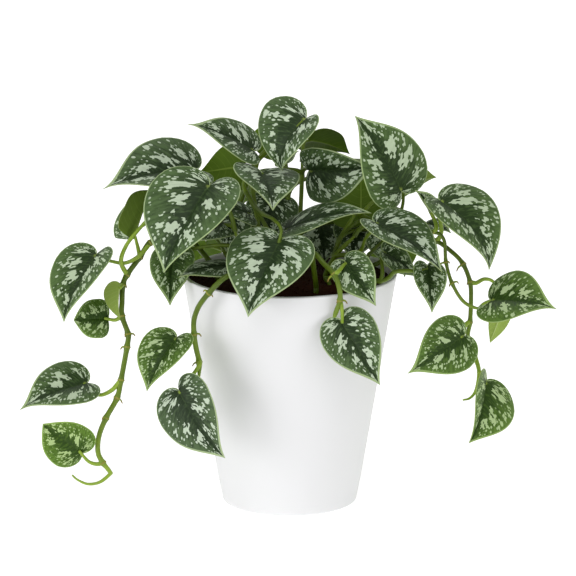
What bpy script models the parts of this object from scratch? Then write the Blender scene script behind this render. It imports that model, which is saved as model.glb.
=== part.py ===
"""Satin pothos in a white tapered pot.

Metres, +Z up. The origin is the middle of the pot's foot, on the surface it stands on,
and -Y is the side that faces the viewer. Each leafy stem is one piece: stem, petioles,
root nubs and leaves, joined. The pot and the soil are the two other pieces.
"""

import math
from types import SimpleNamespace

import bmesh
import bpy
import numpy as np
from mathutils import Matrix

MM = 0.001

# Pot
POT_HEIGHT = 142 * MM
POT_RIM_RADIUS = 65 * MM
POT_FOOT_RADIUS = 41 * MM
POT_WALL = 3 * MM
POT_FLOOR = 4 * MM
FOOT_ROUNDING = 2 * MM
RIM_ROUNDING = 0.8 * MM
POT_SIDES = 44

# Soil
SOIL_TOP = POT_HEIGHT - 4.5 * MM
SOIL_CROWN = 2.5 * MM
SOIL_LUMP = 0.8 * MM
LUMPS_ACROSS = 310
LUMPS_ALONG = 270
SOIL_GAP = 0.3 * MM
SOIL_SIDES = 32
HOLE_DEPTH = 13 * MM
HOLE_GAP = 0.45 * MM
HOLE_SIDES = 6
SOIL_RINGS = (0.75, 0.5, 0.25)

# Stems and leaves
STEM_RADIUS = 1.35 * MM
ROOTED_RISES = (-12 * MM, 2 * MM, 6 * MM)
PETIOLE_RADIUS = 1.05 * MM
SHOOT_RADIUS = 1.1 * MM
BLADE_THICKNESS = 0.7 * MM
RIPPLE_SHIFT = 1.3
NUB_LENGTH = 4.5 * MM
NUB_RADIUS = 0.75 * MM
NUB_TURN = 2.9
TAPER_POINTS = 4
TAPER_END = 0.5
STEM_STEPS = 2
STEM_ROUNDNESS = 1
PETIOLE_STEPS = 4
PETIOLE_ROUNDNESS = 0
PETIOLE_SINK = 1.8 * MM
PETIOLE_REACH = 0.38

# Outline of half a blade: across in half widths, along in lengths from petiole to tip
LOBE_CURVE = ((0.0, 0.0), (0.0, -0.16), (0.9, -0.19), (1.0, 0.20))
SIDE_START = ((1.0, 0.20), (1.0, 0.60))
SHOULDER_ALONG = 0.74
LOBE_ROWS = (0.3, 0.6, 1.0)
SIDE_ROWS = (0.24, 0.48, 0.75, 1.0)
COLUMNS = (-1.0, -0.55, 0.0, 0.55, 1.0)
PLAIN_COLUMNS = (-1.0, 0.0, 1.0)
VEIN_RISE = 1.25
BEND_RISE = 1.4

# The viewing direction that the front of the plant was measured from
VIEW_TILT = math.radians(13.8)
VIEW_DISTANCE = 3.5
VIEW_CENTRE = np.array([-0.001, 0.0, 0.132])
MIDDLE_PIXEL = 288
PIXEL_SIZE = 0.605 * MM
RIGHT = np.array([1.0, 0.0, 0.0])
UP = np.array([0.0, math.sin(VIEW_TILT), math.cos(VIEW_TILT)])
NEAR = np.array([0.0, -math.cos(VIEW_TILT), math.sin(VIEW_TILT)])
WORLD_UP = np.array([0.0, 0.0, 1.0])


def seen(pixel_x, pixel_y, near):
    """A point seen at a pixel of the front view, near mm in front of the pot's axis."""
    depth = VIEW_DISTANCE - near * MM
    scale = PIXEL_SIZE * depth / VIEW_DISTANCE
    across = RIGHT * (pixel_x - MIDDLE_PIXEL) * scale
    upward = UP * (MIDDLE_PIXEL - pixel_y) * scale
    return VIEW_CENTRE + across + upward + NEAR * near * MM


def polar(azimuth, reach, height):
    """A point at an azimuth in degrees from +X, reach and height in mm."""
    angle = math.radians(azimuth)
    return np.array([reach * math.cos(angle), reach * math.sin(angle), height]) * MM


def unit(vector):
    return vector / np.linalg.norm(vector)


def bezier(corners, share):
    """Points of a cubic curve at each share of its length."""
    a, b, c, d = (np.asarray(corner, float) for corner in corners)
    s = np.asarray(share, float)[..., None]
    return (1 - s) ** 3 * a + 3 * (1 - s) ** 2 * s * b + 3 * (1 - s) * s * s * c + s ** 3 * d


def smooth_path(points, steps):
    """Points on a smooth curve through all the given ones."""
    points = np.asarray(points)
    ends = np.concatenate([[2 * points[0] - points[1]], points, [2 * points[-1] - points[-2]]])
    path = []
    for a, b, c, d in zip(ends, ends[1:], ends[2:], ends[3:]):
        for s in np.arange(steps) / steps:
            bend = (2 * a - 5 * b + 4 * c - d) * s * s + (3 * b - a - 3 * c + d) * s ** 3
            path.append((2 * b + (c - a) * s + bend) / 2)
    return np.array(path + [points[-1]])


def midrib_arc(length, bend, steps=40):
    """Places and slopes along a midrib that curls down by bend degrees, its chord level."""
    share = np.linspace(0, 1, steps + 1)
    slope = -math.radians(bend) * share ** BEND_RISE
    middle = (slope[:-1] + slope[1:]) / 2
    along = np.concatenate([[0], np.cumsum(np.cos(middle))]) * length / steps
    rise = np.concatenate([[0], np.cumsum(np.sin(middle))]) * length / steps
    turn = -math.atan2(rise[-1], along[-1])
    level_along = math.cos(turn) * along - math.sin(turn) * rise
    level_rise = math.sin(turn) * along + math.cos(turn) * rise
    return level_along, level_rise, slope + turn


def flat_rows(shoulder):
    """Midrib height and margin point of every row of a blade, from the lobes to the tip."""
    lobe = bezier(LOBE_CURVE, LOBE_ROWS)
    side = bezier((*SIDE_START, (shoulder, SHOULDER_ALONG), (0.0, 1.0)), SIDE_ROWS)
    height = np.concatenate([np.zeros(len(lobe)), np.asarray(SIDE_ROWS) ** VEIN_RISE])
    return height, np.concatenate([lobe, side])


def blade_points(leaf):
    """Points of the blade's middle surface, rows by columns, in the leaf's own directions."""
    height, margin = flat_rows(leaf.shoulder)
    column = np.asarray(leaf.columns)
    out = np.abs(column)
    across = margin[:, :1] * out * (1 + leaf.skew * np.sign(column)) * leaf.width / 2
    along = height[:, None] + (margin[:, 1:] - height[:, None]) * out
    along = (along - leaf.sweep * height[:, None] * (1 - height[:, None]) * out * (1 - out)) * leaf.length
    along = np.where(along < 0, along * leaf.lobe, along)
    half = leaf.width / 2
    fold = math.radians(leaf.fold)
    curl = math.radians(leaf.curl)
    turned = fold - curl * across / half
    level = half / curl * (math.sin(fold) - np.sin(turned))
    lift = half / curl * (np.cos(turned) - math.cos(fold))
    ripple = np.sin(leaf.ripples * math.pi * along / leaf.length + leaf.phase + RIPPLE_SHIFT * np.sign(column))
    lift = lift + leaf.wave * ripple * out ** 2 * (1 - margin[:, 1:])
    arc_along, arc_rise, slope = midrib_arc(leaf.length, leaf.bend)
    shares = np.linspace(0, leaf.length, len(arc_along))
    here = np.clip(along, 0, leaf.length)
    behind = along - here
    tilt = np.interp(here, shares, slope)
    ahead = np.interp(here, shares, arc_along) + behind * np.cos(tilt) - lift * np.sin(tilt)
    risen = np.interp(here, shares, arc_rise) + behind * np.sin(tilt) + lift * np.cos(tilt)
    return np.stack([np.sign(column) * level, ahead, risen], axis=-1)


def leaf_directions(leaf):
    """Across, along and upper-side directions of a leaf."""
    along = unit(leaf.tip - leaf.base)
    upper = unit(leaf.facing - along * (leaf.facing @ along))
    across = np.cross(along, upper)
    roll = math.radians(leaf.roll)
    turned = upper * math.cos(roll) + across * math.sin(roll)
    return np.cross(along, turned), along, turned


def blade_mesh(leaf):
    """Vertices and triangles of a closed blade, its two faces split alike."""
    grid = leaf.base + blade_points(leaf) @ np.array(leaf_directions(leaf))
    rows, columns = grid.shape[:2]
    places = np.round(grid.reshape(-1, 3), 7)
    points, index = np.unique(places, axis=0, return_inverse=True)
    index = index.reshape(rows, columns)
    triangles = []
    for row in range(rows - 1):
        for column in range(columns - 1):
            a, b = index[row, column], index[row, column + 1]
            c, d = index[row + 1, column + 1], index[row + 1, column]
            split = ((a, b, c), (a, c, d)) if leaf.columns[column] >= 0 else ((a, b, d), (b, c, d))
            triangles += [corners for corners in split if len(set(corners)) == 3]
    return thicken(points, np.array(triangles))


def thicken(points, triangles):
    """A sheet of triangles given its thickness, with its rim closed."""
    corners = points[triangles]
    turns = np.cross(corners[:, 1] - corners[:, 0], corners[:, 2] - corners[:, 0])
    normals = np.zeros_like(points)
    for corner in range(3):
        np.add.at(normals, triangles[:, corner], turns)
    normals /= np.linalg.norm(normals, axis=1, keepdims=True)
    step = normals * BLADE_THICKNESS / 2
    count = len(points)
    edges = np.concatenate([triangles[:, [0, 1]], triangles[:, [1, 2]], triangles[:, [2, 0]]])
    kept = set(map(tuple, edges))
    rim = []
    for a, b in edges:
        if (b, a) not in kept:
            rim += [(b, a, a + count), (b, a + count, b + count)]
    faces = np.concatenate([triangles, triangles[:, ::-1] + count, np.array(rim)])
    return np.concatenate([points + step, points - step]), faces


def leaf(at, base, tip, **shape):
    """A leaf's description: where it grows, its pose and its form. Lengths in mm."""
    given = dict(
        length=50, width=45, roll=0, fold=18, curl=24, bend=28, wave=0.7, phase=0.0,
        ripples=2.6, sweep=0.5, lobe=1.0, shoulder=0.3, skew=0.0, stalk=0.35, dip=0.55, via=(),
        columns=COLUMNS,
    )
    given.update(shape)
    for size in ("length", "width", "wave"):
        given[size] *= MM
    return SimpleNamespace(at=at, base=base, tip=tip, **given)


def chord(length, bend):
    return midrib_arc(length * MM, bend)[0][-1]


def front_leaf(at, base, tip, near, length, lean=1, **shape):
    """A leaf placed by two pixels of the front view. lean 1 brings its tip nearer, -1 further."""
    start = seen(*base, near)
    reach = chord(length, shape.get("bend", 28))
    level = np.linalg.norm(seen(*tip, near) - start)
    depth = math.sqrt(max(reach ** 2 - level ** 2, 0.0))
    end = seen(*tip, near + lean * depth / MM)
    return leaf(at, start, end, length=length, facing=NEAR, **shape)


def round_leaf(at, azimuth, reach, height, length, yaw=0, pitch=-30, **shape):
    """A leaf placed round the pot: its heading turned by yaw, its tip lowered by pitch."""
    start = polar(azimuth, reach, height)
    heading = polar(azimuth + yaw, math.cos(math.radians(pitch)), math.sin(math.radians(pitch)))
    end = start + heading / MM * chord(length, shape.get("bend", 28))
    return leaf(at, start, end, length=length, facing=WORLD_UP, columns=PLAIN_COLUMNS, **shape)


def stem(root, route, leaves, nubs=(), shoots=(), radius=1.0):
    """A leafy stem: root is its azimuth and reach in the soil, route its points above it."""
    return SimpleNamespace(root=root, route=route, leaves=leaves, nubs=nubs, shoots=shoots, radius=radius)


STEMS = {
    "stem_left_trailing": stem(
        root=(188, 44),
        route=[
            seen(190, 240, 6), seen(168, 238, 9), seen(150, 243, 11), seen(140, 257, 12), seen(127, 275, 12),
            seen(123, 285, 12), seen(122, 302, 12), seen(122, 316, 12), seen(128, 334, 12), seen(127, 347, 12),
            seen(121, 380, 12), seen(117, 398, 12), seen(106, 418, 12), seen(99, 436, 12), seen(98, 452, 12),
            seen(103, 463, 12), seen(110, 472, 12),
        ],
        leaves=[
            front_leaf(4, (195, 170), (103, 189), 2, 60, width=58, roll=51, fold=23, shoulder=0.05,
                       via=[(121, 262, 17), (125, 248, 19), (134, 235, 19), (158, 208, 14), (180, 184, 4)]),
            front_leaf(2, (96, 255), (64, 322), 14, 47, width=50, roll=50, fold=26,
                       via=[(139, 256, 14), (125, 263, 15), (110, 261, 14)]),
            front_leaf(3, (134, 238), (152, 190), 12, 32, lean=-1, width=41, roll=-86, fold=50, bend=10,
                       shoulder=0.8, lobe=0.3, via=[(138, 248, 12)]),
            front_leaf(5, (120, 286), (120, 318), 18, 22, width=18, roll=120, fold=55, shoulder=0.5),
            front_leaf(7, (107, 318), (74, 320), 8, 22, width=24, fold=10, shoulder=0.95, lobe=0.6,
                       via=[(115, 320, 11)]),
            front_leaf(10, (86, 383), (20, 410), 8, 45, width=43, roll=47, fold=20, shoulder=0.1,
                       via=[(112, 390, 12), (101, 395, 11), (93, 392, 9)]),
            front_leaf(15, (81, 452), (43, 424), 14, 31, width=31, roll=-15, fold=15, shoulder=0.75,
                       via=[(96, 464, 12), (88, 461, 13)]),
        ],
        nubs=[5, 8, 9, 11, 12],
        shoots=[[16, (110, 474, 12), (100, 482, 12), (88, 484, 12), (78, 480, 12), (72, 475, 12)]],
        radius=1.2,
    ),
    "stem_front_left": stem(
        root=(238, 46),
        route=[
            seen(236, 274, 56), seen(223, 279, 60), seen(209, 293, 57), seen(199, 306, 48), seen(194, 320, 42),
            seen(194, 334, 38), seen(196, 348, 36), seen(199, 362, 35), seen(199, 378, 36),
        ],
        leaves=[
            front_leaf(5, (176, 338), (147, 391), 38, 39, width=38, roll=41, fold=24, via=[(186, 341, 38)]),
            front_leaf(7, (179, 391), (225, 458), 42, 50, width=45, roll=34, fold=18),
        ],
        nubs=[2, 5, 7],
        radius=1.2,
    ),
    "stem_front_right": stem(
        root=(292, 42),
        route=[
            seen(313, 254, 55), seen(325, 265, 62), seen(334, 274, 67), seen(339, 287, 67), seen(340, 300, 64),
            seen(336, 312, 60), seen(333, 322, 57),
        ],
        leaves=[
            front_leaf(2, (345, 262), (376, 306), 53, 33, width=26, roll=-8, fold=25),
            front_leaf(4, (341, 321), (380, 385), 60, 46, width=35, roll=0, fold=15, via=[(342, 310, 61)]),
        ],
        nubs=[2, 4],
        radius=1.15,
    ),
    "stem_right_trailing": stem(
        root=(352, 44),
        route=[
            seen(400, 252, 10), seen(420, 240, 12), seen(436, 241, 13), seen(452, 252, 14), seen(463, 264, 14),
            seen(470, 282, 14), seen(471, 300, 14), seen(470, 322, 14), seen(468, 338, 10), seen(475, 356, 10),
            seen(479, 372, 12),
        ],
        leaves=[
            front_leaf(2, (441, 201), (489, 270), 32, 54, width=53, roll=-50, fold=20, bend=70, skew=-0.12),
            front_leaf(5, (504, 306), (490, 343), 4, 26, lean=-1, width=13, roll=185, fold=15, shoulder=0.55,
                       via=[(476, 283, 13), (485, 279, 10), (495, 284, 6)]),
            front_leaf(7, (463, 336), (407, 374), 20, 42, width=36, roll=-5, fold=20, shoulder=0.1),
            front_leaf(10, (486, 382), (469, 443), 14, 42, width=42, roll=-48, fold=28, skew=-0.2),
        ],
        nubs=[4, 5, 7],
        shoots=[[10, (476, 390, 14), (470, 398, 16), (463, 400, 18)]],
    ),
    "stem_right_thin": stem(
        root=(340, 40),
        route=[
            seen(385, 240, 20), seen(412, 233, 27), seen(434, 232, 29), seen(444, 240, 27), seen(446, 262, 25),
            seen(452, 283, 24), seen(463, 301, 23), seen(476, 308, 22), seen(483, 306, 22),
        ],
        leaves=[
            front_leaf(8, (492, 300), (556, 309), 20, 44, width=44, roll=-40, fold=20, shoulder=0.1),
            front_leaf(2, (430, 207), (415, 190), 24, 16, width=12, roll=30, fold=45),
        ],
        nubs=[4, 5],
        radius=0.8,
    ),
    "stem_right_low": stem(
        root=(318, 32),
        route=[seen(380, 281, 35), seen(395, 272, 38), seen(410, 271, 38), seen(420, 272, 36)],
        leaves=[
            front_leaf(3, (427, 267), (432, 313), 32, 30, width=22, roll=-15, fold=30),
            front_leaf(0, (384, 252), (417, 278), 30, 28, lean=-1, width=22, roll=-45, fold=20),
        ],
    ),
    "stem_mound_left": stem(
        root=(205, 28),
        route=[polar(208, 32, 155), polar(210, 38, 172)],
        leaves=[
            front_leaf(1, (209, 186), (164, 273), 45, 62, width=66, roll=36, fold=26),
            front_leaf(1, (222, 222), (181, 245), 15, 36, width=32, roll=40, fold=15),
            front_leaf(0, (174, 252), (170, 306), 15, 38, width=28, roll=10, fold=20),
        ],
    ),
    "stem_mound_top_left": stem(
        root=(150, 18),
        route=[polar(152, 20, 160), seen(253, 190, 6), seen(255, 170, 9)],
        leaves=[
            front_leaf(2, (253, 150), (187, 124), 12, 45, width=36, roll=52, fold=16, shoulder=0.0,
                       via=[(252, 158, 10)]),
            front_leaf(1, (243, 166), (198, 173), -2, 30, lean=-1, width=30, roll=180, fold=15,
                       via=[(246, 176, 2)]),
            front_leaf(2, (280, 141), (243, 138), -4, 27, lean=-1, width=24, roll=180, fold=15),
            front_leaf(2, (305, 119), (283, 171), 44, 38, lean=-1, width=52, roll=50, fold=20, bend=80,
                       lobe=1.5, skew=0.25,
                       via=[(258, 161, 12), (265, 154, 16), (278, 145, 24), (294, 130, 42)]),
            front_leaf(0, (236, 216), (226, 252), -12, 24, width=26, roll=20),
        ],
    ),
    "stem_mound_centre": stem(
        root=(240, 14),
        route=[polar(240, 15, 160), seen(246, 192, 16), seen(245, 178, 18)],
        leaves=[
            front_leaf(2, (262, 173), (273, 211), 24, 42, width=42, roll=-25, fold=25),
            front_leaf(0, (250, 214), (213, 209), 9, 26, width=28, roll=60, fold=8),
            front_leaf(1, (280, 241), (248, 317), 56, 54, width=56, roll=27, fold=17,
                       via=[(254, 205, 24), (263, 214, 36), (273, 219, 47), (281, 229, 54)]),
        ],
    ),
    "stem_mound_top": stem(
        root=(60, 12),
        route=[polar(60, 12, 160), seen(302, 176, -2), seen(302, 162, -3)],
        leaves=[
            front_leaf(2, (310, 140), (350, 154), -5, 32, lean=-1, width=27, roll=-130, fold=15,
                       via=[(303, 149, -3), (305, 142, -4)]),
            front_leaf(1, (310, 171), (382, 164), 12, 47, width=40, roll=24, fold=32, lobe=0.5,
                       shoulder=0.0),
            front_leaf(1, (280, 165), (299, 151), 7, 16, lean=-1, width=13, roll=-60, fold=15),
            front_leaf(0, (356, 224), (352, 262), -10, 25, width=28, roll=-5),
        ],
    ),
    "stem_mound_top_right": stem(
        root=(10, 25),
        route=[polar(8, 30, 160), polar(4, 40, 178)],
        leaves=[
            front_leaf(1, (401, 190), (355, 116), 22, 54, width=50, roll=32, fold=19,
                       via=[(362, 213, 14), (373, 202, 18), (387, 197, 21)]),
            front_leaf(0, (361, 222), (361, 174), 4, 34, lean=-1, width=38, roll=180, fold=15),
            front_leaf(1, (402, 190), (437, 177), 2, 28, lean=-1, width=28, roll=-120, fold=15,
                       via=[(392, 228, 6), (402, 208, 4)]),
            front_leaf(0, (382, 232), (386, 268), -4, 23, width=24, roll=-15),
        ],
    ),
    "stem_mound_right": stem(
        root=(335, 24),
        route=[polar(335, 30, 155), polar(338, 42, 168)],
        leaves=[
            front_leaf(0, (376, 223), (442, 272), 45, 52, width=44, roll=-54, fold=25,
                       via=[(359, 252, 30), (366, 238, 38)]),
            front_leaf(1, (427, 224), (451, 233), 2, 18, width=14, roll=-50, fold=20),
        ],
    ),
    "stem_mound_front": stem(
        root=(265, 28),
        route=[polar(265, 31, 150), polar(266, 33, 160)],
        leaves=[
            front_leaf(1, (286, 230), (371, 213), 26, 55, width=44, roll=-70, fold=15),
            front_leaf(0, (232, 266), (179, 277), 32, 36, width=30, roll=64, fold=5),
        ],
    ),
    "stem_back_left": stem(
        root=(150, 42),
        route=[polar(150, 46, 150), polar(150, 52, 164)],
        leaves=[
            round_leaf(1, 156, 60, 186, 46, pitch=-34, width=42),
            round_leaf(1, 138, 76, 170, 46, pitch=-56, width=44),
            round_leaf(0, 160, 68, 164, 40, yaw=-10, pitch=-66, width=36),
        ],
    ),
    "stem_back_trailing": stem(
        root=(118, 44),
        route=[
            polar(118, 52, 150), polar(118, 66, 160), polar(116, 80, 152), polar(114, 88, 132), polar(111, 90, 110),
            polar(108, 88, 90), polar(105, 88, 72),
        ],
        leaves=[
            round_leaf(1, 112, 70, 186, 50, pitch=-46, width=46),
            round_leaf(3, 122, 98, 140, 40, yaw=4, pitch=-70, width=36),
            round_leaf(5, 98, 100, 100, 38, yaw=-10, pitch=-68, width=33),
            round_leaf(6, 107, 96, 66, 32, yaw=4, pitch=-74, width=28),
        ],
    ),
    "stem_back_middle": stem(
        root=(92, 24),
        route=[polar(92, 26, 160), polar(92, 30, 180)],
        leaves=[
            round_leaf(1, 94, 47, 213, 50, pitch=-16, width=46),
            round_leaf(1, 134, 64, 194, 46, pitch=-26, width=42),
            round_leaf(1, 54, 58, 200, 46, pitch=-28, width=42),
            front_leaf(0, (276, 200), (262, 250), -20, 33, width=34, roll=15),
            front_leaf(0, (322, 216), (324, 264), -20, 30, width=34, roll=-10),
        ],
    ),
    "stem_back_right": stem(
        root=(62, 44),
        route=[
            polar(64, 52, 150), polar(66, 66, 158), polar(68, 80, 148), polar(70, 86, 130), polar(72, 86, 112),
        ],
        leaves=[
            round_leaf(1, 64, 68, 184, 50, pitch=-46, width=46),
            round_leaf(1, 84, 93, 144, 42, yaw=0, pitch=-68, width=38),
            round_leaf(3, 60, 96, 132, 38, yaw=0, pitch=-72, width=34),
            round_leaf(4, 78, 96, 104, 36, yaw=6, pitch=-70, width=32),
        ],
    ),
    "stem_back_far_right": stem(
        root=(28, 42),
        route=[polar(28, 46, 150), polar(28, 52, 164)],
        leaves=[
            round_leaf(1, 34, 66, 174, 46, pitch=-34, width=42),
            round_leaf(1, 16, 72, 162, 42, yaw=4, pitch=-54, width=38),
            round_leaf(0, 40, 76, 162, 42, yaw=2, pitch=-66, width=38),
        ],
    ),
}


def rooted_points(one):
    """The stem's straight rooted stretch in its hole, from its lower end up."""
    return [polar(*one.root, (SOIL_TOP + rise) / MM) for rise in ROOTED_RISES]


def stem_path(one):
    """The stem's whole centre line, and the index of each route point on it."""
    points = rooted_points(one) + one.route
    marks = [STEM_STEPS * (order + len(ROOTED_RISES)) for order in range(len(one.route))]
    return smooth_path(points, STEM_STEPS), marks


def petiole_path(start, leave, leaf_):
    """Centre line from the stem to the blade's notch, ending inside the blade."""
    _, along, upper = leaf_directions(leaf_)
    rise = midrib_arc(leaf_.length, leaf_.bend)[2][0]
    inward = along * math.cos(rise) + upper * math.sin(rise)
    end = leaf_.base + inward * PETIOLE_SINK
    span = np.linalg.norm(end - start)
    arrive = unit(along * leaf_.stalk + upper * leaf_.dip)
    if leaf_.via:
        return smooth_path([start] + [seen(*place) for place in leaf_.via] + [end], 2)
    first = start + unit(leave + WORLD_UP) * PETIOLE_REACH * span
    second = end - arrive * PETIOLE_REACH * span
    return bezier((start, first, second, end), np.linspace(0, 1, PETIOLE_STEPS + 1))


def tube(name, points, radii, resolution):
    """A closed tube through the points, made from a bevelled curve."""
    curve = bpy.data.curves.new(name, "CURVE")
    curve.dimensions = "3D"
    curve.bevel_depth = 1.0
    curve.bevel_resolution = resolution
    curve.use_fill_caps = True
    spline = curve.splines.new("POLY")
    spline.points.add(len(points) - 1)
    for point, place, radius in zip(spline.points, points, radii):
        point.co = (*place, 1.0)
        point.radius = radius
    guide = bpy.data.objects.new(name, curve)
    bpy.context.scene.collection.objects.link(guide)
    graph = bpy.context.evaluated_depsgraph_get()
    mesh = bpy.data.meshes.new_from_object(guide.evaluated_get(graph), depsgraph=graph)
    bpy.data.objects.remove(guide)
    return clean_mesh(mesh)


def clean_mesh(mesh):
    shape = bmesh.new()
    shape.from_mesh(mesh)
    bmesh.ops.remove_doubles(shape, verts=shape.verts, dist=1e-6)
    bmesh.ops.recalc_face_normals(shape, faces=shape.faces)
    shape.to_mesh(mesh)
    shape.free()
    return mesh


def nub_line(path, mark, turn):
    """A short root nub that stands out of the stem and points down."""
    along = unit(path[min(mark + 1, len(path) - 1)] - path[mark - 1])
    side = unit(np.cross(along, NEAR))
    other = np.cross(along, side)
    outward = side * math.cos(turn) + other * math.sin(turn)
    return np.array([path[mark], path[mark] + (outward - WORLD_UP * 0.5) * NUB_LENGTH])


def stem_pieces(name, one):
    """Meshes of everything on one stem, the stem itself first."""
    path, marks = stem_path(one)
    radius = STEM_RADIUS * one.radius
    radii = np.full(len(path), radius)
    radii[-TAPER_POINTS:] = np.linspace(1.0, TAPER_END, TAPER_POINTS) * radius
    pieces = [(name, tube(name, path, radii, STEM_ROUNDNESS))]
    for order, each in enumerate(one.leaves):
        label = f"{name}_leaf_{order}"
        mark = marks[each.at]
        before = path[max(mark - 1, 0)]
        after = path[min(mark + 1, len(path) - 1)]
        line = petiole_path(path[mark], unit(after - before), each)
        radii = np.full(len(line), PETIOLE_RADIUS)
        pieces.append((label + "_petiole", tube(label, line, radii, PETIOLE_ROUNDNESS)))
        points, faces = blade_mesh(each)
        mesh = bpy.data.meshes.new(label)
        mesh.from_pydata(points.tolist(), [], faces.tolist())
        pieces.append((label, mesh))
    for order, node in enumerate(one.nubs):
        line = nub_line(path, marks[node], order * NUB_TURN)
        radii = np.linspace(1.0, TAPER_END, len(line)) * NUB_RADIUS
        pieces.append((f"{name}_nub_{order}", tube(name, line, radii, 0)))
    for node, *places in one.shoots:
        start = [path[marks[node] - STEM_STEPS], path[marks[node]]]
        line = smooth_path(start + [seen(*place) for place in places], 2)
        radii = np.linspace(1.0, TAPER_END, len(line)) * SHOOT_RADIUS
        pieces.append((name + "_shoot", tube(name, line, radii, PETIOLE_ROUNDNESS)))
    return pieces


def combine(thing, operation, group):
    """Apply an exact Boolean with a collection's objects, then remove them."""
    boolean = thing.modifiers.new("combine", "BOOLEAN")
    boolean.operation = operation
    boolean.operand_type = "COLLECTION"
    boolean.collection = group
    boolean.solver = "EXACT"
    graph = bpy.context.evaluated_depsgraph_get()
    mesh = bpy.data.meshes.new_from_object(thing.evaluated_get(graph), depsgraph=graph)
    thing.modifiers.remove(boolean)
    thing.data = mesh
    for other in list(group.objects):
        bpy.data.objects.remove(other)
    bpy.data.collections.remove(group)


def joined(name, pieces):
    """One object from overlapping closed meshes, by a Boolean union that is applied."""
    scene = bpy.context.scene.collection
    main = bpy.data.objects.new(name, pieces[0][1])
    scene.objects.link(main)
    group = bpy.data.collections.new(name + "_pieces")
    scene.children.link(group)
    for label, mesh in pieces[1:]:
        group.objects.link(bpy.data.objects.new(label, mesh))
    combine(main, "UNION", group)
    return main


def finish_material(name, colour, roughness):
    material = bpy.data.materials.new(name)
    material.use_nodes = True
    shader = material.node_tree.nodes["Principled BSDF"]
    shader.inputs["Base Color"].default_value = (*colour, 1.0)
    shader.inputs["Roughness"].default_value = roughness
    shader.inputs["Metallic"].default_value = 0.0
    return material


def dress(thing, material, smooth_angle):
    thing.data.materials.clear()
    thing.data.materials.append(material)
    thing.data.shade_smooth()
    thing.data.set_sharp_from_angle(angle=smooth_angle)


def turned(name, profile, sides):
    """A solid turned from a closed profile of radius and height pairs, its ends on the axis."""
    shape = bmesh.new()
    rings = []
    for radius, height in profile:
        if radius == 0:
            rings.append([shape.verts.new((0, 0, height))])
            continue
        angles = [2 * math.pi * side / sides for side in range(sides)]
        rings.append([shape.verts.new((radius * math.cos(a), radius * math.sin(a), height)) for a in angles])
    for lower, upper in zip(rings, rings[1:]):
        for side in range(sides):
            after = (side + 1) % sides
            corners = [lower[side % len(lower)], lower[after % len(lower)]]
            corners += [upper[after % len(upper)], upper[side % len(upper)]]
            shape.faces.new(list(dict.fromkeys(corners)))
    bmesh.ops.recalc_face_normals(shape, faces=shape.faces)
    mesh = bpy.data.meshes.new(name)
    shape.to_mesh(mesh)
    shape.free()
    thing = bpy.data.objects.new(name, mesh)
    bpy.context.scene.collection.objects.link(thing)
    return thing


def wall_radius(height):
    """Outer radius of the pot at a height."""
    return POT_FOOT_RADIUS + (POT_RIM_RADIUS - POT_FOOT_RADIUS) * height / POT_HEIGHT


def make_pot():
    inner_floor = wall_radius(POT_FLOOR) - POT_WALL
    profile = [(0, 0), (POT_FOOT_RADIUS - FOOT_ROUNDING, 0)]
    for turn in (30, 60, 90):
        angle = math.radians(turn)
        out = POT_FOOT_RADIUS - FOOT_ROUNDING + FOOT_ROUNDING * math.sin(angle)
        profile.append((out, FOOT_ROUNDING * (1 - math.cos(angle))))
    profile += [
        (wall_radius(POT_HEIGHT - RIM_ROUNDING), POT_HEIGHT - RIM_ROUNDING),
        (POT_RIM_RADIUS - RIM_ROUNDING, POT_HEIGHT),
        (POT_RIM_RADIUS - POT_WALL + RIM_ROUNDING, POT_HEIGHT),
        (POT_RIM_RADIUS - POT_WALL, POT_HEIGHT - RIM_ROUNDING),
        (inner_floor, POT_FLOOR),
        (0, POT_FLOOR),
    ]
    pot = turned("pot", profile, POT_SIDES)
    dress(pot, finish_material("white_pot", (0.86, 0.86, 0.85), 0.45), math.radians(35))


def make_soil():
    """A plug of soil, a little crowned and lumpy on top, with a plain hole for each stem."""
    floor = POT_FLOOR + SOIL_GAP
    foot = wall_radius(floor) - POT_WALL - SOIL_GAP
    edge = wall_radius(SOIL_TOP) - POT_WALL - SOIL_GAP
    profile = [(0, floor), (foot, floor), (edge, SOIL_TOP)]
    for share in SOIL_RINGS:
        profile.append((edge * share, SOIL_TOP + SOIL_CROWN * (1 - share ** 2)))
    profile.append((0, SOIL_TOP + SOIL_CROWN))
    soil = turned("soil", profile, SOIL_SIDES)
    for vertex in soil.data.vertices:
        x, y, z = vertex.co
        if z > SOIL_TOP + SOIL_LUMP / 2:
            lump = math.sin(x * LUMPS_ACROSS + 1.0) * math.cos(y * LUMPS_ALONG + 0.4)
            vertex.co.z += SOIL_LUMP * lump
    cutters = bpy.data.collections.new("holes")
    bpy.context.scene.collection.children.link(cutters)
    for one in STEMS.values():
        place = polar(*one.root, 0)
        radius = STEM_RADIUS * one.radius + HOLE_GAP
        profile = [(0, SOIL_TOP - HOLE_DEPTH), (radius, SOIL_TOP - HOLE_DEPTH)]
        profile += [(radius, POT_HEIGHT), (0, POT_HEIGHT)]
        hole = turned("hole", profile, HOLE_SIDES)
        hole.data.transform(Matrix.Translation(place.tolist()))
        bpy.context.scene.collection.objects.unlink(hole)
        cutters.objects.link(hole)
    combine(soil, "DIFFERENCE", cutters)
    dress(soil, finish_material("potting_soil", (0.05, 0.03, 0.02), 0.95), math.radians(40))


def main():
    for thing in list(bpy.data.objects):
        bpy.data.objects.remove(thing)
    make_pot()
    make_soil()
    foliage = finish_material("foliage", (0.12, 0.22, 0.10), 0.5)
    for name, one in STEMS.items():
        dress(joined(name, stem_pieces(name, one)), foliage, math.radians(40))


if __name__ == "__main__":
    main()
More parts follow.
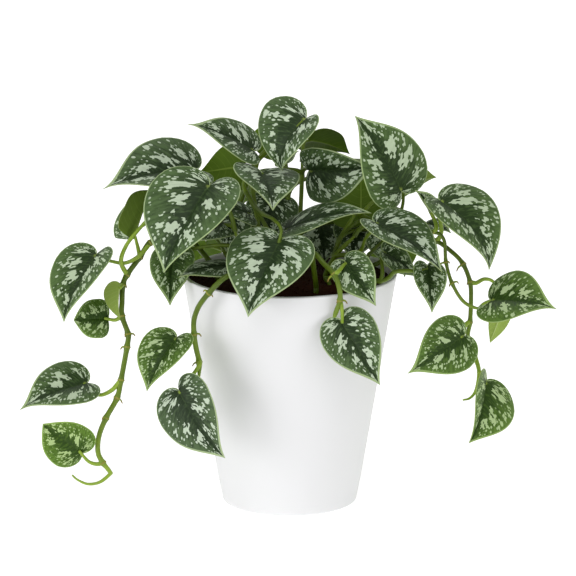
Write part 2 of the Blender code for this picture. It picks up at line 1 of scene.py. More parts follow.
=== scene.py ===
"""Satin pothos in a white tapered pot: its fine shapes and its finishes.

Metres, +Z up, -Y towards the viewer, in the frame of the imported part. The stems' routes and the
leaves' poses are the ones that the part's own source gives. Here each blade gets fine rows, veins,
a thin margin and its silver markings, and the pot, the soil and the stems get their surfaces.
"""

import math
import random
from types import SimpleNamespace

import bpy
import numpy as np
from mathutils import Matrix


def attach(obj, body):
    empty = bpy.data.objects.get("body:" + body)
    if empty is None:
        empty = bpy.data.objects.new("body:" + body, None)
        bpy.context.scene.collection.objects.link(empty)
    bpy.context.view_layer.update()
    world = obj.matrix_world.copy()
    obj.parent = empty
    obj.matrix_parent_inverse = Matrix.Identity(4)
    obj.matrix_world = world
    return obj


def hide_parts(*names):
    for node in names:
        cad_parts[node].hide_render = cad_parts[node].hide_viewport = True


MM = 0.001

# Pot and soil
POT_HEIGHT = 142 * MM
POT_RIM_RADIUS = 65 * MM
POT_FOOT_RADIUS = 41 * MM
POT_WALL = 3 * MM
POT_FLOOR = 4 * MM
FOOT_ROUNDING = 2 * MM
RIM_ROUNDING = 0.8 * MM
POT_SIDES = 144
SOIL_TOP = POT_HEIGHT - 4.5 * MM
SOIL_CROWN = 2.5 * MM
SOIL_GAP = 0.3 * MM
SOIL_SIDES = 96
SOIL_RINGS = 36
SOIL_WAVES = 14
SOIL_UNEVENNESS = 0.45 * MM
SOIL_SEED = 5

# Crumbs: sizes as shares of the largest radius, the fibres among them drawn out long
CRUMB_MARGIN = 2.2 * MM
DISC_SIDES = 32
DISC_RINGS = 8
LEAST_CRUMB = (0.4, 0.4, 0.35)
LARGEST_CRUMB = (1.0, 1.0, 0.9)
CRUMB_SIZE_SEED = 7
CRUMB_DENTS = 900.0
FIBRE_SEED = 11
FIBRE_RARITY = 9.0

# Stems
STEM_RADIUS = 1.35 * MM
ROOTED_RISES = (-12 * MM, 2 * MM, 6 * MM)
PETIOLE_RADIUS = 1.2 * MM
SHOOT_RADIUS = 1.5 * MM
PETIOLE_SINK = 1.8 * MM
PETIOLE_REACH = 0.38
NUB_LENGTH = 4.5 * MM
NUB_RADIUS = 0.75 * MM
NUB_TURN = 2.9
SECOND_NUB_TURN = 2.6
STEM_STEPS = 10
PETIOLE_STEPS = 14

# Outline of half a blade: across in half widths, along in lengths from petiole to tip
LOBE_CURVE = ((0.0, 0.0), (0.0, -0.16), (0.9, -0.19), (1.0, 0.20))
SIDE_START = ((1.0, 0.20), (1.0, 0.60))
SHOULDER_ALONG = 0.74
LOBE_ROWS = np.linspace(0.04, 1.0, 13)
SIDE_ROWS = np.linspace(0.0, 1.0, 29)[1:]
OUTWARD = np.array([0.03, 0.07, 0.13, 0.21, 0.3, 0.4, 0.5, 0.6, 0.7, 0.79, 0.87, 0.93, 0.97, 1.0])
COLUMNS = np.concatenate([-OUTWARD[::-1], [0.0], OUTWARD])
MIDRIB = len(OUTWARD)
VEIN_RISE = 1.25
BEND_RISE = 1.4
RIPPLE_SHIFT = 1.3
BLADE_THICKNESS = 0.5 * MM
MARGIN_THICKNESS = 0.22 * MM
GROOVE_DEPTH = 0.35 * MM
RIB_WIDTH = 0.8 * MM
RIB_HEIGHT = 0.4 * MM
NODE_SWELLING = 0.3
NODE_LENGTH = 1.6 * MM
END_TAPER = 12 * MM
RING_HALF_LENGTH = 0.5 * MM

# Tints along a stem: 0 is stem green, 1 is fresh petiole green, 2 is dry brown
PETIOLE_TINT = 1.0
# Painted shade: petioles of the stems in and behind the mound are tinted close to the darker stem green for
# the shade among the leaves
SHADED_MOUND_PETIOLE_TINT = 0.25
RING_TINT = 1.6
DRY_TINT = 2.0

# How fresh green each leaf is, from 0 to 1, for stems whose leaves differ from the rest
PLAIN_FRESHNESS = 0.12
FRESHNESS = {
    "stem_left_trailing": (0.1, 0.3, 0.3, 0.8, 0.8, 0.25, 1.0),
    "stem_front_left": (0.7, 0.0),
    "stem_front_right": (0.3, 0.15),
    "stem_right_trailing": (0.35, 1.0, 0.7, 0.85),
    "stem_right_thin": (0.75, 0.3),
    "stem_right_low": (0.3, 0.3),
    "stem_mound_left": (0.15, 0.1, 0.45),
    "stem_mound_top_right": (0.3, 0.15, 0.4, 0.2),
}

# Silver cells and dots to a half blade, outwards and along its margin
CELLS_OUT = 12.0
CELLS_ALONG = 66.0
CLUSTERS_ALONG = 5.5
SPOTS_OUT = 3.4
SPOTS_ALONG = 15.0
DOTS_OUT = 7.0
DOTS_ALONG = 34.0
LATERAL_VEINS = 13

# The viewing direction that the front of the plant was measured from
VIEW_TILT = math.radians(13.8)
VIEW_DISTANCE = 3.5
VIEW_CENTRE = np.array([-0.001, 0.0, 0.132])
MIDDLE_PIXEL = 288
PIXEL_SIZE = 0.605 * MM
SENSOR = 36.0
RIGHT = np.array([1.0, 0.0, 0.0])
UP = np.array([0.0, math.sin(VIEW_TILT), math.cos(VIEW_TILT)])
NEAR = np.array([0.0, -math.cos(VIEW_TILT), math.sin(VIEW_TILT)])
WORLD_UP = np.array([0.0, 0.0, 1.0])

# Surfaces and studio: noise, colours, brightness, and the seed of what is drawn for each leaf
CELL_WOBBLE = (1.6, 1.6, 0.0)
SKY_LIGHT = 0.55
FLOOR_GLOW = 0.55
FLOOR_HALF_WIDTH = 6
FLOOR_WHITE = (0.9, 0.9, 0.9, 1.0)
LIGHT_WHITE = (1.0, 1.0, 1.0, 1.0)
POT_WHITE = (0.74, 0.74, 0.75, 1.0)
STEM_GRAIN = 160.0
SOIL_GRAIN = 700.0
LEAF_SEED = 11

# Each light's name, place, target, width and power
LIGHTS = (
    ("key", (-0.5, -1.6, 2.5), (0, 0, 0.12), 1.8, 22),
    ("left_fill", (-2.7, -1.5, 0.5), (0, 0, 0.08), 2.0, 30),
    ("right_fill", (2.4, -1.8, 0.9), (0, 0, 0.1), 2.0, 9),
    ("back", (-0.4, 2.0, 2.4), (0, 0, 0.15), 1.6, 6),
)


def seen(pixel_x, pixel_y, near):
    """A point seen at a pixel of the front view, near mm in front of the pot's axis."""
    depth = VIEW_DISTANCE - near * MM
    scale = PIXEL_SIZE * depth / VIEW_DISTANCE
    across = RIGHT * (pixel_x - MIDDLE_PIXEL) * scale
    upward = UP * (MIDDLE_PIXEL - pixel_y) * scale
    return VIEW_CENTRE + across + upward + NEAR * near * MM


def views(*places):
    """Points seen at pixels of the front view, each with its own nearness."""
    return [seen(*place) for place in places]


def polar(azimuth, reach, height):
    """A point at an azimuth in degrees from +X, reach and height in mm."""
    angle = math.radians(azimuth)
    return np.array([reach * math.cos(angle), reach * math.sin(angle), height]) * MM


def unit(vector):
    return vector / np.linalg.norm(vector)


def bezier(corners, share):
    """Points of a cubic curve at each share of its length."""
    a, b, c, d = (np.asarray(corner, float) for corner in corners)
    s = np.asarray(share, float)[..., None]
    return (1 - s) ** 3 * a + 3 * (1 - s) ** 2 * s * b + 3 * (1 - s) * s * s * c + s ** 3 * d


def smooth_path(points, steps):
    """Points on a smooth curve through all the given ones."""
    points = np.asarray(points)
    ends = np.concatenate([[2 * points[0] - points[1]], points, [2 * points[-1] - points[-2]]])
    path = []
    for a, b, c, d in zip(ends, ends[1:], ends[2:], ends[3:]):
        for s in np.arange(steps) / steps:
            bend = (2 * a - 5 * b + 4 * c - d) * s * s + (3 * b - a - 3 * c + d) * s ** 3
            path.append((2 * b + (c - a) * s + bend) / 2)
    return np.array(path + [points[-1]])


def midrib_arc(length, bend, steps=40):
    """Places and slopes along a midrib that curls down by bend degrees, its chord level."""
    share = np.linspace(0, 1, steps + 1)
    slope = -math.radians(bend) * share ** BEND_RISE
    middle = (slope[:-1] + slope[1:]) / 2
    along = np.concatenate([[0], np.cumsum(np.cos(middle))]) * length / steps
    rise = np.concatenate([[0], np.cumsum(np.sin(middle))]) * length / steps
    turn = -math.atan2(rise[-1], along[-1])
    level_along = math.cos(turn) * along - math.sin(turn) * rise
    level_rise = math.sin(turn) * along + math.cos(turn) * rise
    return level_along, level_rise, slope + turn


def leaf(at, base, tip, **shape):
    """A leaf's description: where it grows, its pose and its form. Lengths in mm."""
    given = dict(
        length=50, width=45, roll=0, fold=18, curl=24, bend=28, wave=0.7, phase=0.0,
        ripples=2.6, sweep=0.5, lobe=1.0, shoulder=0.3, skew=0.0, stalk=0.35, dip=0.55,
        via=(),
    )
    given.update(shape)
    for size in ("length", "width", "wave"):
        given[size] *= MM
    return SimpleNamespace(at=at, base=base, tip=tip, **given)


def chord(length, bend):
    return midrib_arc(length * MM, bend)[0][-1]


def front_leaf(at, base, tip, near, length, lean=1, **shape):
    """A leaf placed by two pixels of the front view. lean 1 brings its tip nearer, -1 further."""
    start = seen(*base, near)
    reach = chord(length, shape.get("bend", 28))
    level = np.linalg.norm(seen(*tip, near) - start)
    depth = math.sqrt(max(reach ** 2 - level ** 2, 0.0))
    end = seen(*tip, near + lean * depth / MM)
    return leaf(at, start, end, length=length, facing=NEAR, **shape)


def round_leaf(at, azimuth, reach, height, length, yaw=0, pitch=-30, **shape):
    """A leaf placed round the pot: its heading turned by yaw, its tip lowered by pitch."""
    start = polar(azimuth, reach, height)
    heading = polar(azimuth + yaw, math.cos(math.radians(pitch)), math.sin(math.radians(pitch)))
    end = start + heading / MM * chord(length, shape.get("bend", 28))
    return leaf(at, start, end, length=length, facing=WORLD_UP, **shape)


def stem(root, route, leaves, nubs=(), shoots=(), radius=1.0):
    """A leafy stem: root is its azimuth and reach in the soil, route its points above it."""
    return SimpleNamespace(root=root, route=route, leaves=leaves, nubs=nubs, shoots=shoots, radius=radius)


STEMS = {
    "stem_left_trailing": stem(
        root=(188, 44),
        route=views(
            (190, 240, 6), (168, 238, 9), (150, 243, 11), (140, 257, 12), (127, 275, 12),
            (123, 285, 12), (122, 302, 12), (122, 316, 12), (128, 334, 12), (127, 347, 12),
            (121, 380, 12), (117, 398, 12), (106, 418, 12), (99, 436, 12), (98, 452, 12),
            (103, 463, 12), (110, 472, 12),
        ),
        leaves=[
            front_leaf(4, (195, 170), (103, 189), 2, 60, width=58, roll=51, fold=23, shoulder=0.05,
                       via=[(121, 262, 17), (125, 248, 19), (134, 235, 19), (158, 208, 14), (180, 184, 4)]),
            front_leaf(2, (96, 255), (64, 322), 14, 47, width=50, roll=50, fold=26,
                       via=[(139, 256, 14), (125, 263, 15), (110, 261, 14)]),
            front_leaf(3, (134, 238), (152, 190), 12, 32, lean=-1, width=41, roll=-86, fold=50, bend=10,
                       shoulder=0.8, lobe=0.3, via=[(138, 248, 12)]),
            front_leaf(5, (120, 286), (120, 318), 18, 22, width=18, roll=120, fold=55, shoulder=0.5),
            front_leaf(7, (107, 318), (74, 320), 8, 22, width=24, fold=10, shoulder=0.95, lobe=0.6,
                       via=[(115, 320, 11)]),
            front_leaf(10, (86, 383), (20, 410), 8, 45, width=43, roll=47, fold=20, shoulder=0.1,
                       via=[(112, 390, 12), (101, 395, 11), (93, 392, 9)]),
            front_leaf(15, (81, 452), (43, 424), 14, 31, width=31, roll=-15, fold=15, shoulder=0.75,
                       via=[(96, 464, 12), (88, 461, 13)]),
        ],
        nubs=[5, 8, 9, 11, 12],
        shoots=[[16, (110, 474, 12), (100, 482, 12), (88, 484, 12), (78, 480, 12), (72, 475, 12)]],
        radius=1.2,
    ),
    "stem_front_left": stem(
        root=(238, 46),
        route=views(
            (236, 274, 56), (223, 279, 60), (209, 293, 57), (199, 306, 48), (194, 320, 42),
            (194, 334, 38), (196, 348, 36), (199, 362, 35), (199, 378, 36),
        ),
        leaves=[
            front_leaf(5, (176, 338), (147, 391), 38, 39, width=38, roll=41, fold=24, via=[(186, 341, 38)]),
            front_leaf(7, (179, 391), (225, 458), 42, 50, width=45, roll=34, fold=18),
        ],
        nubs=[2, 5, 7],
        radius=1.2,
    ),
    "stem_front_right": stem(
        root=(292, 42),
        route=views(
            (313, 254, 55), (325, 265, 62), (334, 274, 67), (339, 287, 67), (340, 300, 64),
            (336, 312, 60), (333, 322, 57),
        ),
        leaves=[
            front_leaf(2, (345, 262), (376, 306), 53, 33, width=26, roll=-8, fold=25),
            front_leaf(4, (341, 321), (380, 385), 60, 46, width=35, roll=0, fold=15, via=[(342, 310, 61)]),
        ],
        nubs=[2, 4],
        radius=1.15,
    ),
    "stem_right_trailing": stem(
        root=(352, 44),
        route=views(
            (400, 252, 10), (420, 240, 12), (436, 241, 13), (452, 252, 14), (463, 264, 14),
            (470, 282, 14), (471, 300, 14), (470, 322, 14), (468, 338, 10), (475, 356, 10),
            (479, 372, 12),
        ),
        leaves=[
            front_leaf(2, (441, 201), (489, 270), 32, 54, width=53, roll=-50, fold=20, bend=70, skew=-0.12),
            front_leaf(5, (504, 306), (490, 343), 4, 26, lean=-1, width=13, roll=185, fold=15, shoulder=0.55,
                       via=[(476, 283, 13), (485, 279, 10), (495, 284, 6)]),
            front_leaf(7, (463, 336), (407, 374), 20, 42, width=36, roll=-5, fold=20, shoulder=0.1),
            front_leaf(10, (486, 382), (469, 443), 14, 42, width=42, roll=-48, fold=28, skew=-0.2),
        ],
        nubs=[4, 5, 7],
        shoots=[[10, (476, 390, 14), (470, 398, 16), (463, 400, 18)]],
    ),
    "stem_right_thin": stem(
        root=(340, 40),
        route=views(
            (385, 240, 20), (412, 233, 27), (434, 232, 29), (444, 240, 27), (446, 262, 25),
            (452, 283, 24), (463, 301, 23), (476, 308, 22), (483, 306, 22),
        ),
        leaves=[
            front_leaf(8, (492, 300), (556, 309), 20, 44, width=44, roll=-40, fold=20, shoulder=0.1),
            front_leaf(2, (430, 207), (415, 190), 24, 16, width=12, roll=30, fold=45),
        ],
        nubs=[4, 5],
        radius=0.8,
    ),
    "stem_right_low": stem(
        root=(318, 32),
        route=views(
            (380, 281, 35), (395, 272, 38), (410, 271, 38), (420, 272, 36),
        ),
        leaves=[
            front_leaf(3, (427, 267), (432, 313), 32, 30, width=22, roll=-15, fold=30),
            front_leaf(0, (384, 252), (417, 278), 30, 28, lean=-1, width=22, roll=-45, fold=20),
        ],
    ),
    "stem_mound_left": stem(
        root=(205, 28),
        route=[polar(208, 32, 155), polar(210, 38, 172)],
        leaves=[
            front_leaf(1, (209, 186), (164, 273), 45, 62, width=66, roll=36, fold=26),
            front_leaf(1, (222, 222), (181, 245), 15, 36, width=32, roll=40, fold=15),
            front_leaf(0, (174, 252), (170, 306), 15, 38, width=28, roll=10, fold=20),
        ],
    ),
    "stem_mound_top_left": stem(
        root=(150, 18),
        route=[polar(152, 20, 160), seen(253, 190, 6), seen(255, 170, 9)],
        leaves=[
            front_leaf(2, (253, 150), (187, 124), 12, 45, width=36, roll=52, fold=16, shoulder=0.0,
                       via=[(252, 158, 10)]),
            front_leaf(1, (243, 166), (198, 173), -2, 30, lean=-1, width=30, roll=180, fold=15,
                       via=[(246, 176, 2)]),
            front_leaf(2, (280, 141), (243, 138), -4, 27, lean=-1, width=24, roll=180, fold=15),
            front_leaf(2, (305, 119), (283, 171), 44, 38, lean=-1, width=52, roll=50, fold=20, bend=80,
                       lobe=1.5, skew=0.25,
                       via=[(258, 161, 12), (265, 154, 16), (278, 145, 24), (294, 130, 42)]),
            front_leaf(0, (236, 216), (226, 252), -12, 24, width=26, roll=20),
        ],
    ),
    "stem_mound_centre": stem(
        root=(240, 14),
        route=[polar(240, 15, 160), seen(246, 192, 16), seen(245, 178, 18)],
        leaves=[
            front_leaf(2, (262, 173), (273, 211), 24, 42, width=42, roll=-25, fold=25),
            front_leaf(0, (250, 214), (213, 209), 9, 26, width=28, roll=60, fold=8),
            front_leaf(1, (280, 241), (248, 317), 56, 54, width=56, roll=27, fold=17,
                       via=[(254, 205, 24), (263, 214, 36), (273, 219, 47), (281, 229, 54)]),
        ],
    ),
    "stem_mound_top": stem(
        root=(60, 12),
        route=[polar(60, 12, 160), seen(302, 176, -2), seen(302, 162, -3)],
        leaves=[
            front_leaf(2, (310, 140), (350, 154), -5, 32, lean=-1, width=27, roll=-130, fold=15,
                       via=[(303, 149, -3), (305, 142, -4)]),
            front_leaf(1, (310, 171), (382, 164), 12, 47, width=40, roll=24, fold=32, lobe=0.5,
                       shoulder=0.0),
            front_leaf(1, (280, 165), (299, 151), 7, 16, lean=-1, width=13, roll=-60, fold=15),
            front_leaf(0, (356, 224), (352, 262), -10, 25, width=28, roll=-5),
        ],
    ),
    "stem_mound_top_right": stem(
        root=(10, 25),
        route=[polar(8, 30, 160), polar(4, 40, 178)],
        leaves=[
            front_leaf(1, (401, 190), (355, 116), 22, 54, width=50, roll=32, fold=19,
                       via=[(362, 213, 14), (373, 202, 18), (387, 197, 21)]),
            front_leaf(0, (361, 222), (361, 174), 4, 34, lean=-1, width=38, roll=180, fold=15),
            front_leaf(1, (402, 190), (437, 177), 2, 28, lean=-1, width=28, roll=-120, fold=15,
                       via=[(392, 228, 6), (402, 208, 4)]),
            front_leaf(0, (382, 232), (386, 268), -4, 23, width=24, roll=-15),
        ],
    ),
    "stem_mound_right": stem(
        root=(335, 24),
        route=[polar(335, 30, 155), polar(338, 42, 168)],
        leaves=[
            front_leaf(0, (376, 223), (442, 272), 45, 52, width=44, roll=-54, fold=25,
                       via=[(359, 252, 30), (366, 238, 38)]),
            front_leaf(1, (427, 224), (451, 233), 2, 18, width=14, roll=-50, fold=20),
        ],
    ),
    "stem_mound_front": stem(
        root=(265, 28),
        route=[polar(265, 31, 150), polar(266, 33, 160)],
        leaves=[
            front_leaf(1, (286, 230), (371, 213), 26, 55, width=44, roll=-70, fold=15),
            front_leaf(0, (232, 266), (179, 277), 32, 36, width=30, roll=64, fold=5),
        ],
    ),
    "stem_back_left": stem(
        root=(150, 42),
        route=[polar(150, 46, 150), polar(150, 52, 164)],
        leaves=[
            round_leaf(1, 156, 60, 186, 46, pitch=-34, width=42),
            round_leaf(1, 138, 76, 170, 46, pitch=-56, width=44),
            round_leaf(0, 160, 68, 164, 40, yaw=-10, pitch=-66, width=36),
        ],
    ),
    "stem_back_trailing": stem(
        root=(118, 44),
        route=[
            polar(118, 52, 150), polar(118, 66, 160), polar(116, 80, 152), polar(114, 88, 132),
            polar(111, 90, 110), polar(108, 88, 90), polar(105, 88, 72),
        ],
        leaves=[
            round_leaf(1, 112, 70, 186, 50, pitch=-46, width=46),
            round_leaf(3, 122, 98, 140, 40, yaw=4, pitch=-70, width=36),
            round_leaf(5, 98, 100, 100, 38, yaw=-10, pitch=-68, width=33),
            round_leaf(6, 107, 96, 66, 32, yaw=4, pitch=-74, width=28),
        ],
    ),
    "stem_back_middle": stem(
        root=(92, 24),
        route=[polar(92, 26, 160), polar(92, 30, 180)],
        leaves=[
            round_leaf(1, 94, 47, 213, 50, pitch=-16, width=46),
            round_leaf(1, 134, 64, 194, 46, pitch=-26, width=42),
            round_leaf(1, 54, 58, 200, 46, pitch=-28, width=42),
            front_leaf(0, (276, 200), (262, 250), -20, 33, width=34, roll=15),
            front_leaf(0, (322, 216), (324, 264), -20, 30, width=34, roll=-10),
        ],
    ),
    "stem_back_right": stem(
        root=(62, 44),
        route=[
            polar(64, 52, 150), polar(66, 66, 158), polar(68, 80, 148), polar(70, 86, 130),
            polar(72, 86, 112),
        ],
        leaves=[
            round_leaf(1, 64, 68, 184, 50, pitch=-46, width=46),
            round_leaf(1, 84, 93, 144, 42, yaw=0, pitch=-68, width=38),
            round_leaf(3, 60, 96, 132, 38, yaw=0, pitch=-72, width=34),
            round_leaf(4, 78, 96, 104, 36, yaw=6, pitch=-70, width=32),
        ],
    ),
    "stem_back_far_right": stem(
        root=(28, 42),
        route=[polar(28, 46, 150), polar(28, 52, 164)],
        leaves=[
            round_leaf(1, 34, 66, 174, 46, pitch=-34, width=42),
            round_leaf(1, 16, 72, 162, 42, yaw=4, pitch=-54, width=38),
            round_leaf(0, 40, 76, 162, 42, yaw=2, pitch=-66, width=38),
        ],
    ),
}


# Stems, petioles and root nubs

def stem_path(one):
    """The stem's whole centre line, and the index of each route point on it."""
    rooted = [polar(*one.root, (SOIL_TOP + rise) / MM) for rise in ROOTED_RISES]
    marks = [STEM_STEPS * (order + len(rooted)) for order in range(len(one.route))]
    return smooth_path(rooted + one.route, STEM_STEPS), marks


def leaf_directions(leaf):
    """Across, along and upper-side directions of a leaf."""
    along = unit(leaf.tip - leaf.base)
    upper = unit(leaf.facing - along * (leaf.facing @ along))
    across = np.cross(along, upper)
    roll = math.radians(leaf.roll)
    turned = upper * math.cos(roll) + across * math.sin(roll)
    return np.cross(along, turned), along, turned


def petiole_path(start, leave, blade):
    """Centre line from the stem to the blade's notch, ending inside the blade."""
    _, along, upper = leaf_directions(blade)
    rise = midrib_arc(blade.length, blade.bend)[2][0]
    inward = along * math.cos(rise) + upper * math.sin(rise)
    end = blade.base + inward * PETIOLE_SINK
    if blade.via:
        return smooth_path([start] + views(*blade.via) + [end], 5)
    span = np.linalg.norm(end - start)
    arrive = unit(along * blade.stalk + upper * blade.dip)
    first = start + unit(leave + WORLD_UP) * PETIOLE_REACH * span
    second = end - arrive * PETIOLE_REACH * span
    return bezier((start, first, second, end), np.linspace(0, 1, PETIOLE_STEPS + 1))


def nub_line(path, mark, turn, length):
    """A short root nub that stands out of the stem and curls down."""
    along = unit(path[min(mark + 1, len(path) - 1)] - path[mark - 1])
    side = unit(np.cross(along, NEAR))
    other = np.cross(along, side)
    outward = side * math.cos(turn) + other * math.sin(turn)
    middle = path[mark] + (outward * 0.7 - WORLD_UP * 0.1) * length
    tip = path[mark] + (outward - WORLD_UP * 0.5) * length
    return smooth_path(np.array([path[mark], middle, tip]), 4)


def swollen(path, marks, radius):
    """Radii along a stem, fuller at its nodes and tapering to its end."""
    steps = np.linalg.norm(np.diff(path, axis=0), axis=1)
    travelled = np.concatenate([[0], np.cumsum(steps)])
    radii = np.full(len(path), radius)
    for mark in marks:
        radii *= 1 + NODE_SWELLING * np.exp(-((travelled - travelled[mark]) / NODE_LENGTH) ** 2)
    left = travelled[-1] - travelled
    return radii * np.clip(0.45 + left / END_TAPER, 0.0, 1.0)


def ring_line(path, mark, radius):
    """The raised ring that a fallen sheath leaves round a stem's node."""
    along = unit(path[min(mark + 1, len(path) - 1)] - path[mark - 1]) * RING_HALF_LENGTH
    line = np.array([path[mark] - along, path[mark], path[mark] + along])
    return line, radius * np.array([1.0, 1.1, 1.0]), np.full(3, RING_TINT)


def nub_lines(path, mark, turn):
    """A node's root nubs: a long one, and a short one on the other side of the stem."""
    lines = []
    for side, length in ((turn, 1.0), (turn + SECOND_NUB_TURN, 0.6)):
        line = nub_line(path, mark, side, length * NUB_LENGTH)
        share = np.linspace(0, 1, len(line))
        lines.append((line, NUB_RADIUS * (1 - 0.6 * share), PETIOLE_TINT + (DRY_TINT - PETIOLE_TINT) * share))
    return lines


def stem_lines(one):
    """Every centre line of a leafy stem with its radii and tints: stem, petioles, nubs, shoots."""
    path, marks = stem_path(one)
    nodes = sorted({marks[each.at] for each in one.leaves} | {marks[order] for order in one.nubs})
    radii = swollen(path, nodes, STEM_RADIUS * one.radius)
    lines = [(path, radii, np.linspace(0.0, 0.8, len(path)) ** 2)]
    lines += [ring_line(path, mark, radii[mark]) for mark in nodes if one.nubs]
    # Painted shade: stems without nubs, in and behind the mound, get darker petioles for the shade among the
    # leaves
    petiole_tint = PETIOLE_TINT if one.nubs else SHADED_MOUND_PETIOLE_TINT
    for each in one.leaves:
        mark = marks[each.at]
        leave = unit(path[min(mark + 1, len(path) - 1)] - path[max(mark - 1, 0)])
        line = petiole_path(path[mark], leave, each)
        share = np.linspace(0, 1, len(line))
        radii = PETIOLE_RADIUS * (1 + 0.3 * (1 - share) ** 3 - 0.3 * share ** 2)
        lines.append((line, radii, np.full(len(line), petiole_tint)))
    for order, node in enumerate(one.nubs):
        lines += nub_lines(path, marks[node], order * NUB_TURN)
    for node, *places in one.shoots:
        start = [path[marks[node] - STEM_STEPS], path[marks[node]]]
        line = smooth_path(start + views(*places), STEM_STEPS)
        radii = np.linspace(1.0, 0.35, len(line)) * SHOOT_RADIUS
        lines.append((line, radii, np.linspace(0.8, 1.3, len(line))))
    return lines


def line_object(name, lines):
    """A curve object with a spline for each line. Its tilt holds the tint: a round section shows no turn."""
    curve = bpy.data.curves.new(name, "CURVE")
    curve.dimensions = "3D"
    for points, radii, tints in lines:
        spline = curve.splines.new("POLY")
        spline.points.add(len(points) - 1)
        for point, place, radius, tint in zip(spline.points, points, radii, tints):
            point.co = (*place, 1.0)
            point.radius = radius
            point.tilt = tint
    return place_in_scene(name, curve)


# Node trees

def node(tree, kind, inputs=None, **settings):
    """A node with its settings, its inputs given as values or as sockets to link."""
    made = tree.nodes.new(kind)
    for name, value in settings.items():
        setattr(made, name, value)
    for name, value in (inputs or {}).items():
        if isinstance(value, bpy.types.NodeSocket):
            tree.links.new(value, made.inputs[name])
        else:
            made.inputs[name].default_value = value
    return made


def result(tree, kind, inputs=None, **settings):
    """The first output of a new node."""
    return node(tree, kind, inputs, **settings).outputs[0]


def math_node(tree, operation, *values):
    return result(tree, "ShaderNodeMath", dict(enumerate(values)), operation=operation)


def vector_math(tree, operation, inputs):
    return result(tree, "ShaderNodeVectorMath", inputs, operation=operation)


def times(tree, first, second):
    return math_node(tree, "MULTIPLY", first, second)


def minus(tree, first, second):
    return math_node(tree, "SUBTRACT", first, second)


def scaled(tree, value, factor, added):
    """A value times a factor, with something added."""
    return math_node(tree, "MULTIPLY_ADD", value, factor, added)


def geometry_tree(name, sizes):
    """A Geometry Nodes tree with the named inputs, its start and its end."""
    tree = bpy.data.node_groups.new(name, "GeometryNodeTree")
    tree.interface.new_socket("Geometry", in_out="INPUT", socket_type="NodeSocketGeometry")
    for label, kind in sizes.items():
        tree.interface.new_socket(label, in_out="INPUT", socket_type="NodeSocket" + kind)
    tree.interface.new_socket("Geometry", in_out="OUTPUT", socket_type="NodeSocketGeometry")
    return tree, tree.nodes.new("NodeGroupInput"), tree.nodes.new("NodeGroupOutput")


def finish_tree(tree, end, geometry, material):
    """End a tree with real geometry, smooth shading and its material."""
    real = result(tree, "GeometryNodeRealizeInstances", {"Geometry": geometry})
    smooth = result(tree, "GeometryNodeSetShadeSmooth", {"Geometry": real})
    dressed = result(tree, "GeometryNodeSetMaterial", {"Geometry": smooth, "Material": material})
    tree.links.new(dressed, end.inputs[0])


def sweep_tree():
    """Round stems with a slightly uneven skin, swept along curves by their radius."""
    sizes = {"Sides": "Int", "Unevenness": "Float", "Grain": "Float", "Material": "Material"}
    tree, start, end = geometry_tree("swept_stems", sizes)
    given = start.outputs
    circle = result(tree, "GeometryNodeCurvePrimitiveCircle", {"Resolution": given["Sides"], "Radius": 1.0})
    marked = result(
        tree, "GeometryNodeStoreNamedAttribute",
        {"Geometry": given[0], "Name": "tint", "Value": result(tree, "GeometryNodeInputCurveTilt")},
        data_type="FLOAT", domain="POINT",
    )
    radius = result(tree, "GeometryNodeInputRadius")
    swept = {"Curve": marked, "Profile Curve": circle, "Scale": radius, "Fill Caps": True}
    tubes = result(tree, "GeometryNodeCurveToMesh", swept)
    bumps = result(tree, "ShaderNodeTexNoise", {"Scale": given["Grain"], "Detail": 2.0})
    height = times(tree, minus(tree, bumps, 0.5), given["Unevenness"])
    normal = result(tree, "GeometryNodeInputNormal")
    offset = vector_math(tree, "SCALE", {0: normal, 3: height})
    moved = result(tree, "GeometryNodeSetPosition", {"Geometry": tubes, "Offset": offset})
    finish_tree(tree, end, moved, given["Material"])
    return tree


def random_vector(tree, least, most, seed):
    given = {0: least, 1: most, "Seed": seed}
    return result(tree, "FunctionNodeRandomValue", given, data_type="FLOAT_VECTOR")


def crumb_tree():
    """Crumbs strewn over a surface: dented balls of uneven size, some long as fibres."""
    sizes = {"Density": "Float", "Radius": "Float", "Longest": "Float", "Sink": "Float"}
    tree, start, end = geometry_tree("strewn_crumbs", {**sizes, "Seed": "Int", "Material": "Material"})
    given = start.outputs
    spread = {"Mesh": given[0], "Density": given["Density"], "Seed": given["Seed"]}
    strewn = result(tree, "GeometryNodeDistributePointsOnFaces", spread)
    ball = result(tree, "GeometryNodeMeshIcoSphere", {"Radius": given["Radius"], "Subdivisions": 2})
    turn = random_vector(tree, (0.0, 0.0, 0.0), (math.tau, math.tau, math.tau), given["Seed"])
    size = random_vector(tree, LEAST_CRUMB, LARGEST_CRUMB, CRUMB_SIZE_SEED)
    stretch = node(
        tree, "FunctionNodeRandomValue", {2: 0.0, 3: 1.0, "Seed": FIBRE_SEED}, data_type="FLOAT"
    ).outputs[1]
    longer = scaled(tree, math_node(tree, "POWER", stretch, FIBRE_RARITY), given["Longest"], 1.0)
    lengths = result(tree, "ShaderNodeCombineXYZ", {0: longer, 1: 1.0, 2: 1.0})
    scale = vector_math(tree, "MULTIPLY", {0: size, 1: lengths})
    laid = {"Points": strewn, "Instance": ball, "Rotation": turn, "Scale": scale}
    placed = result(tree, "GeometryNodeInstanceOnPoints", laid)
    real = result(tree, "GeometryNodeRealizeInstances", {"Geometry": placed})
    dents = node(tree, "ShaderNodeTexNoise", {"Scale": CRUMB_DENTS, "Detail": 1.0}).outputs["Color"]
    centred = vector_math(tree, "SUBTRACT", {0: dents, 1: (0.5, 0.5, 0.5)})
    depth = vector_math(tree, "SCALE", {0: centred, 3: given["Radius"]})
    sunk = result(tree, "ShaderNodeCombineXYZ", {2: given["Sink"]})
    offset = vector_math(tree, "ADD", {0: depth, 1: sunk})
    moved = result(tree, "GeometryNodeSetPosition", {"Geometry": real, "Offset": offset})
    finish_tree(tree, end, moved, given["Material"])
    return tree


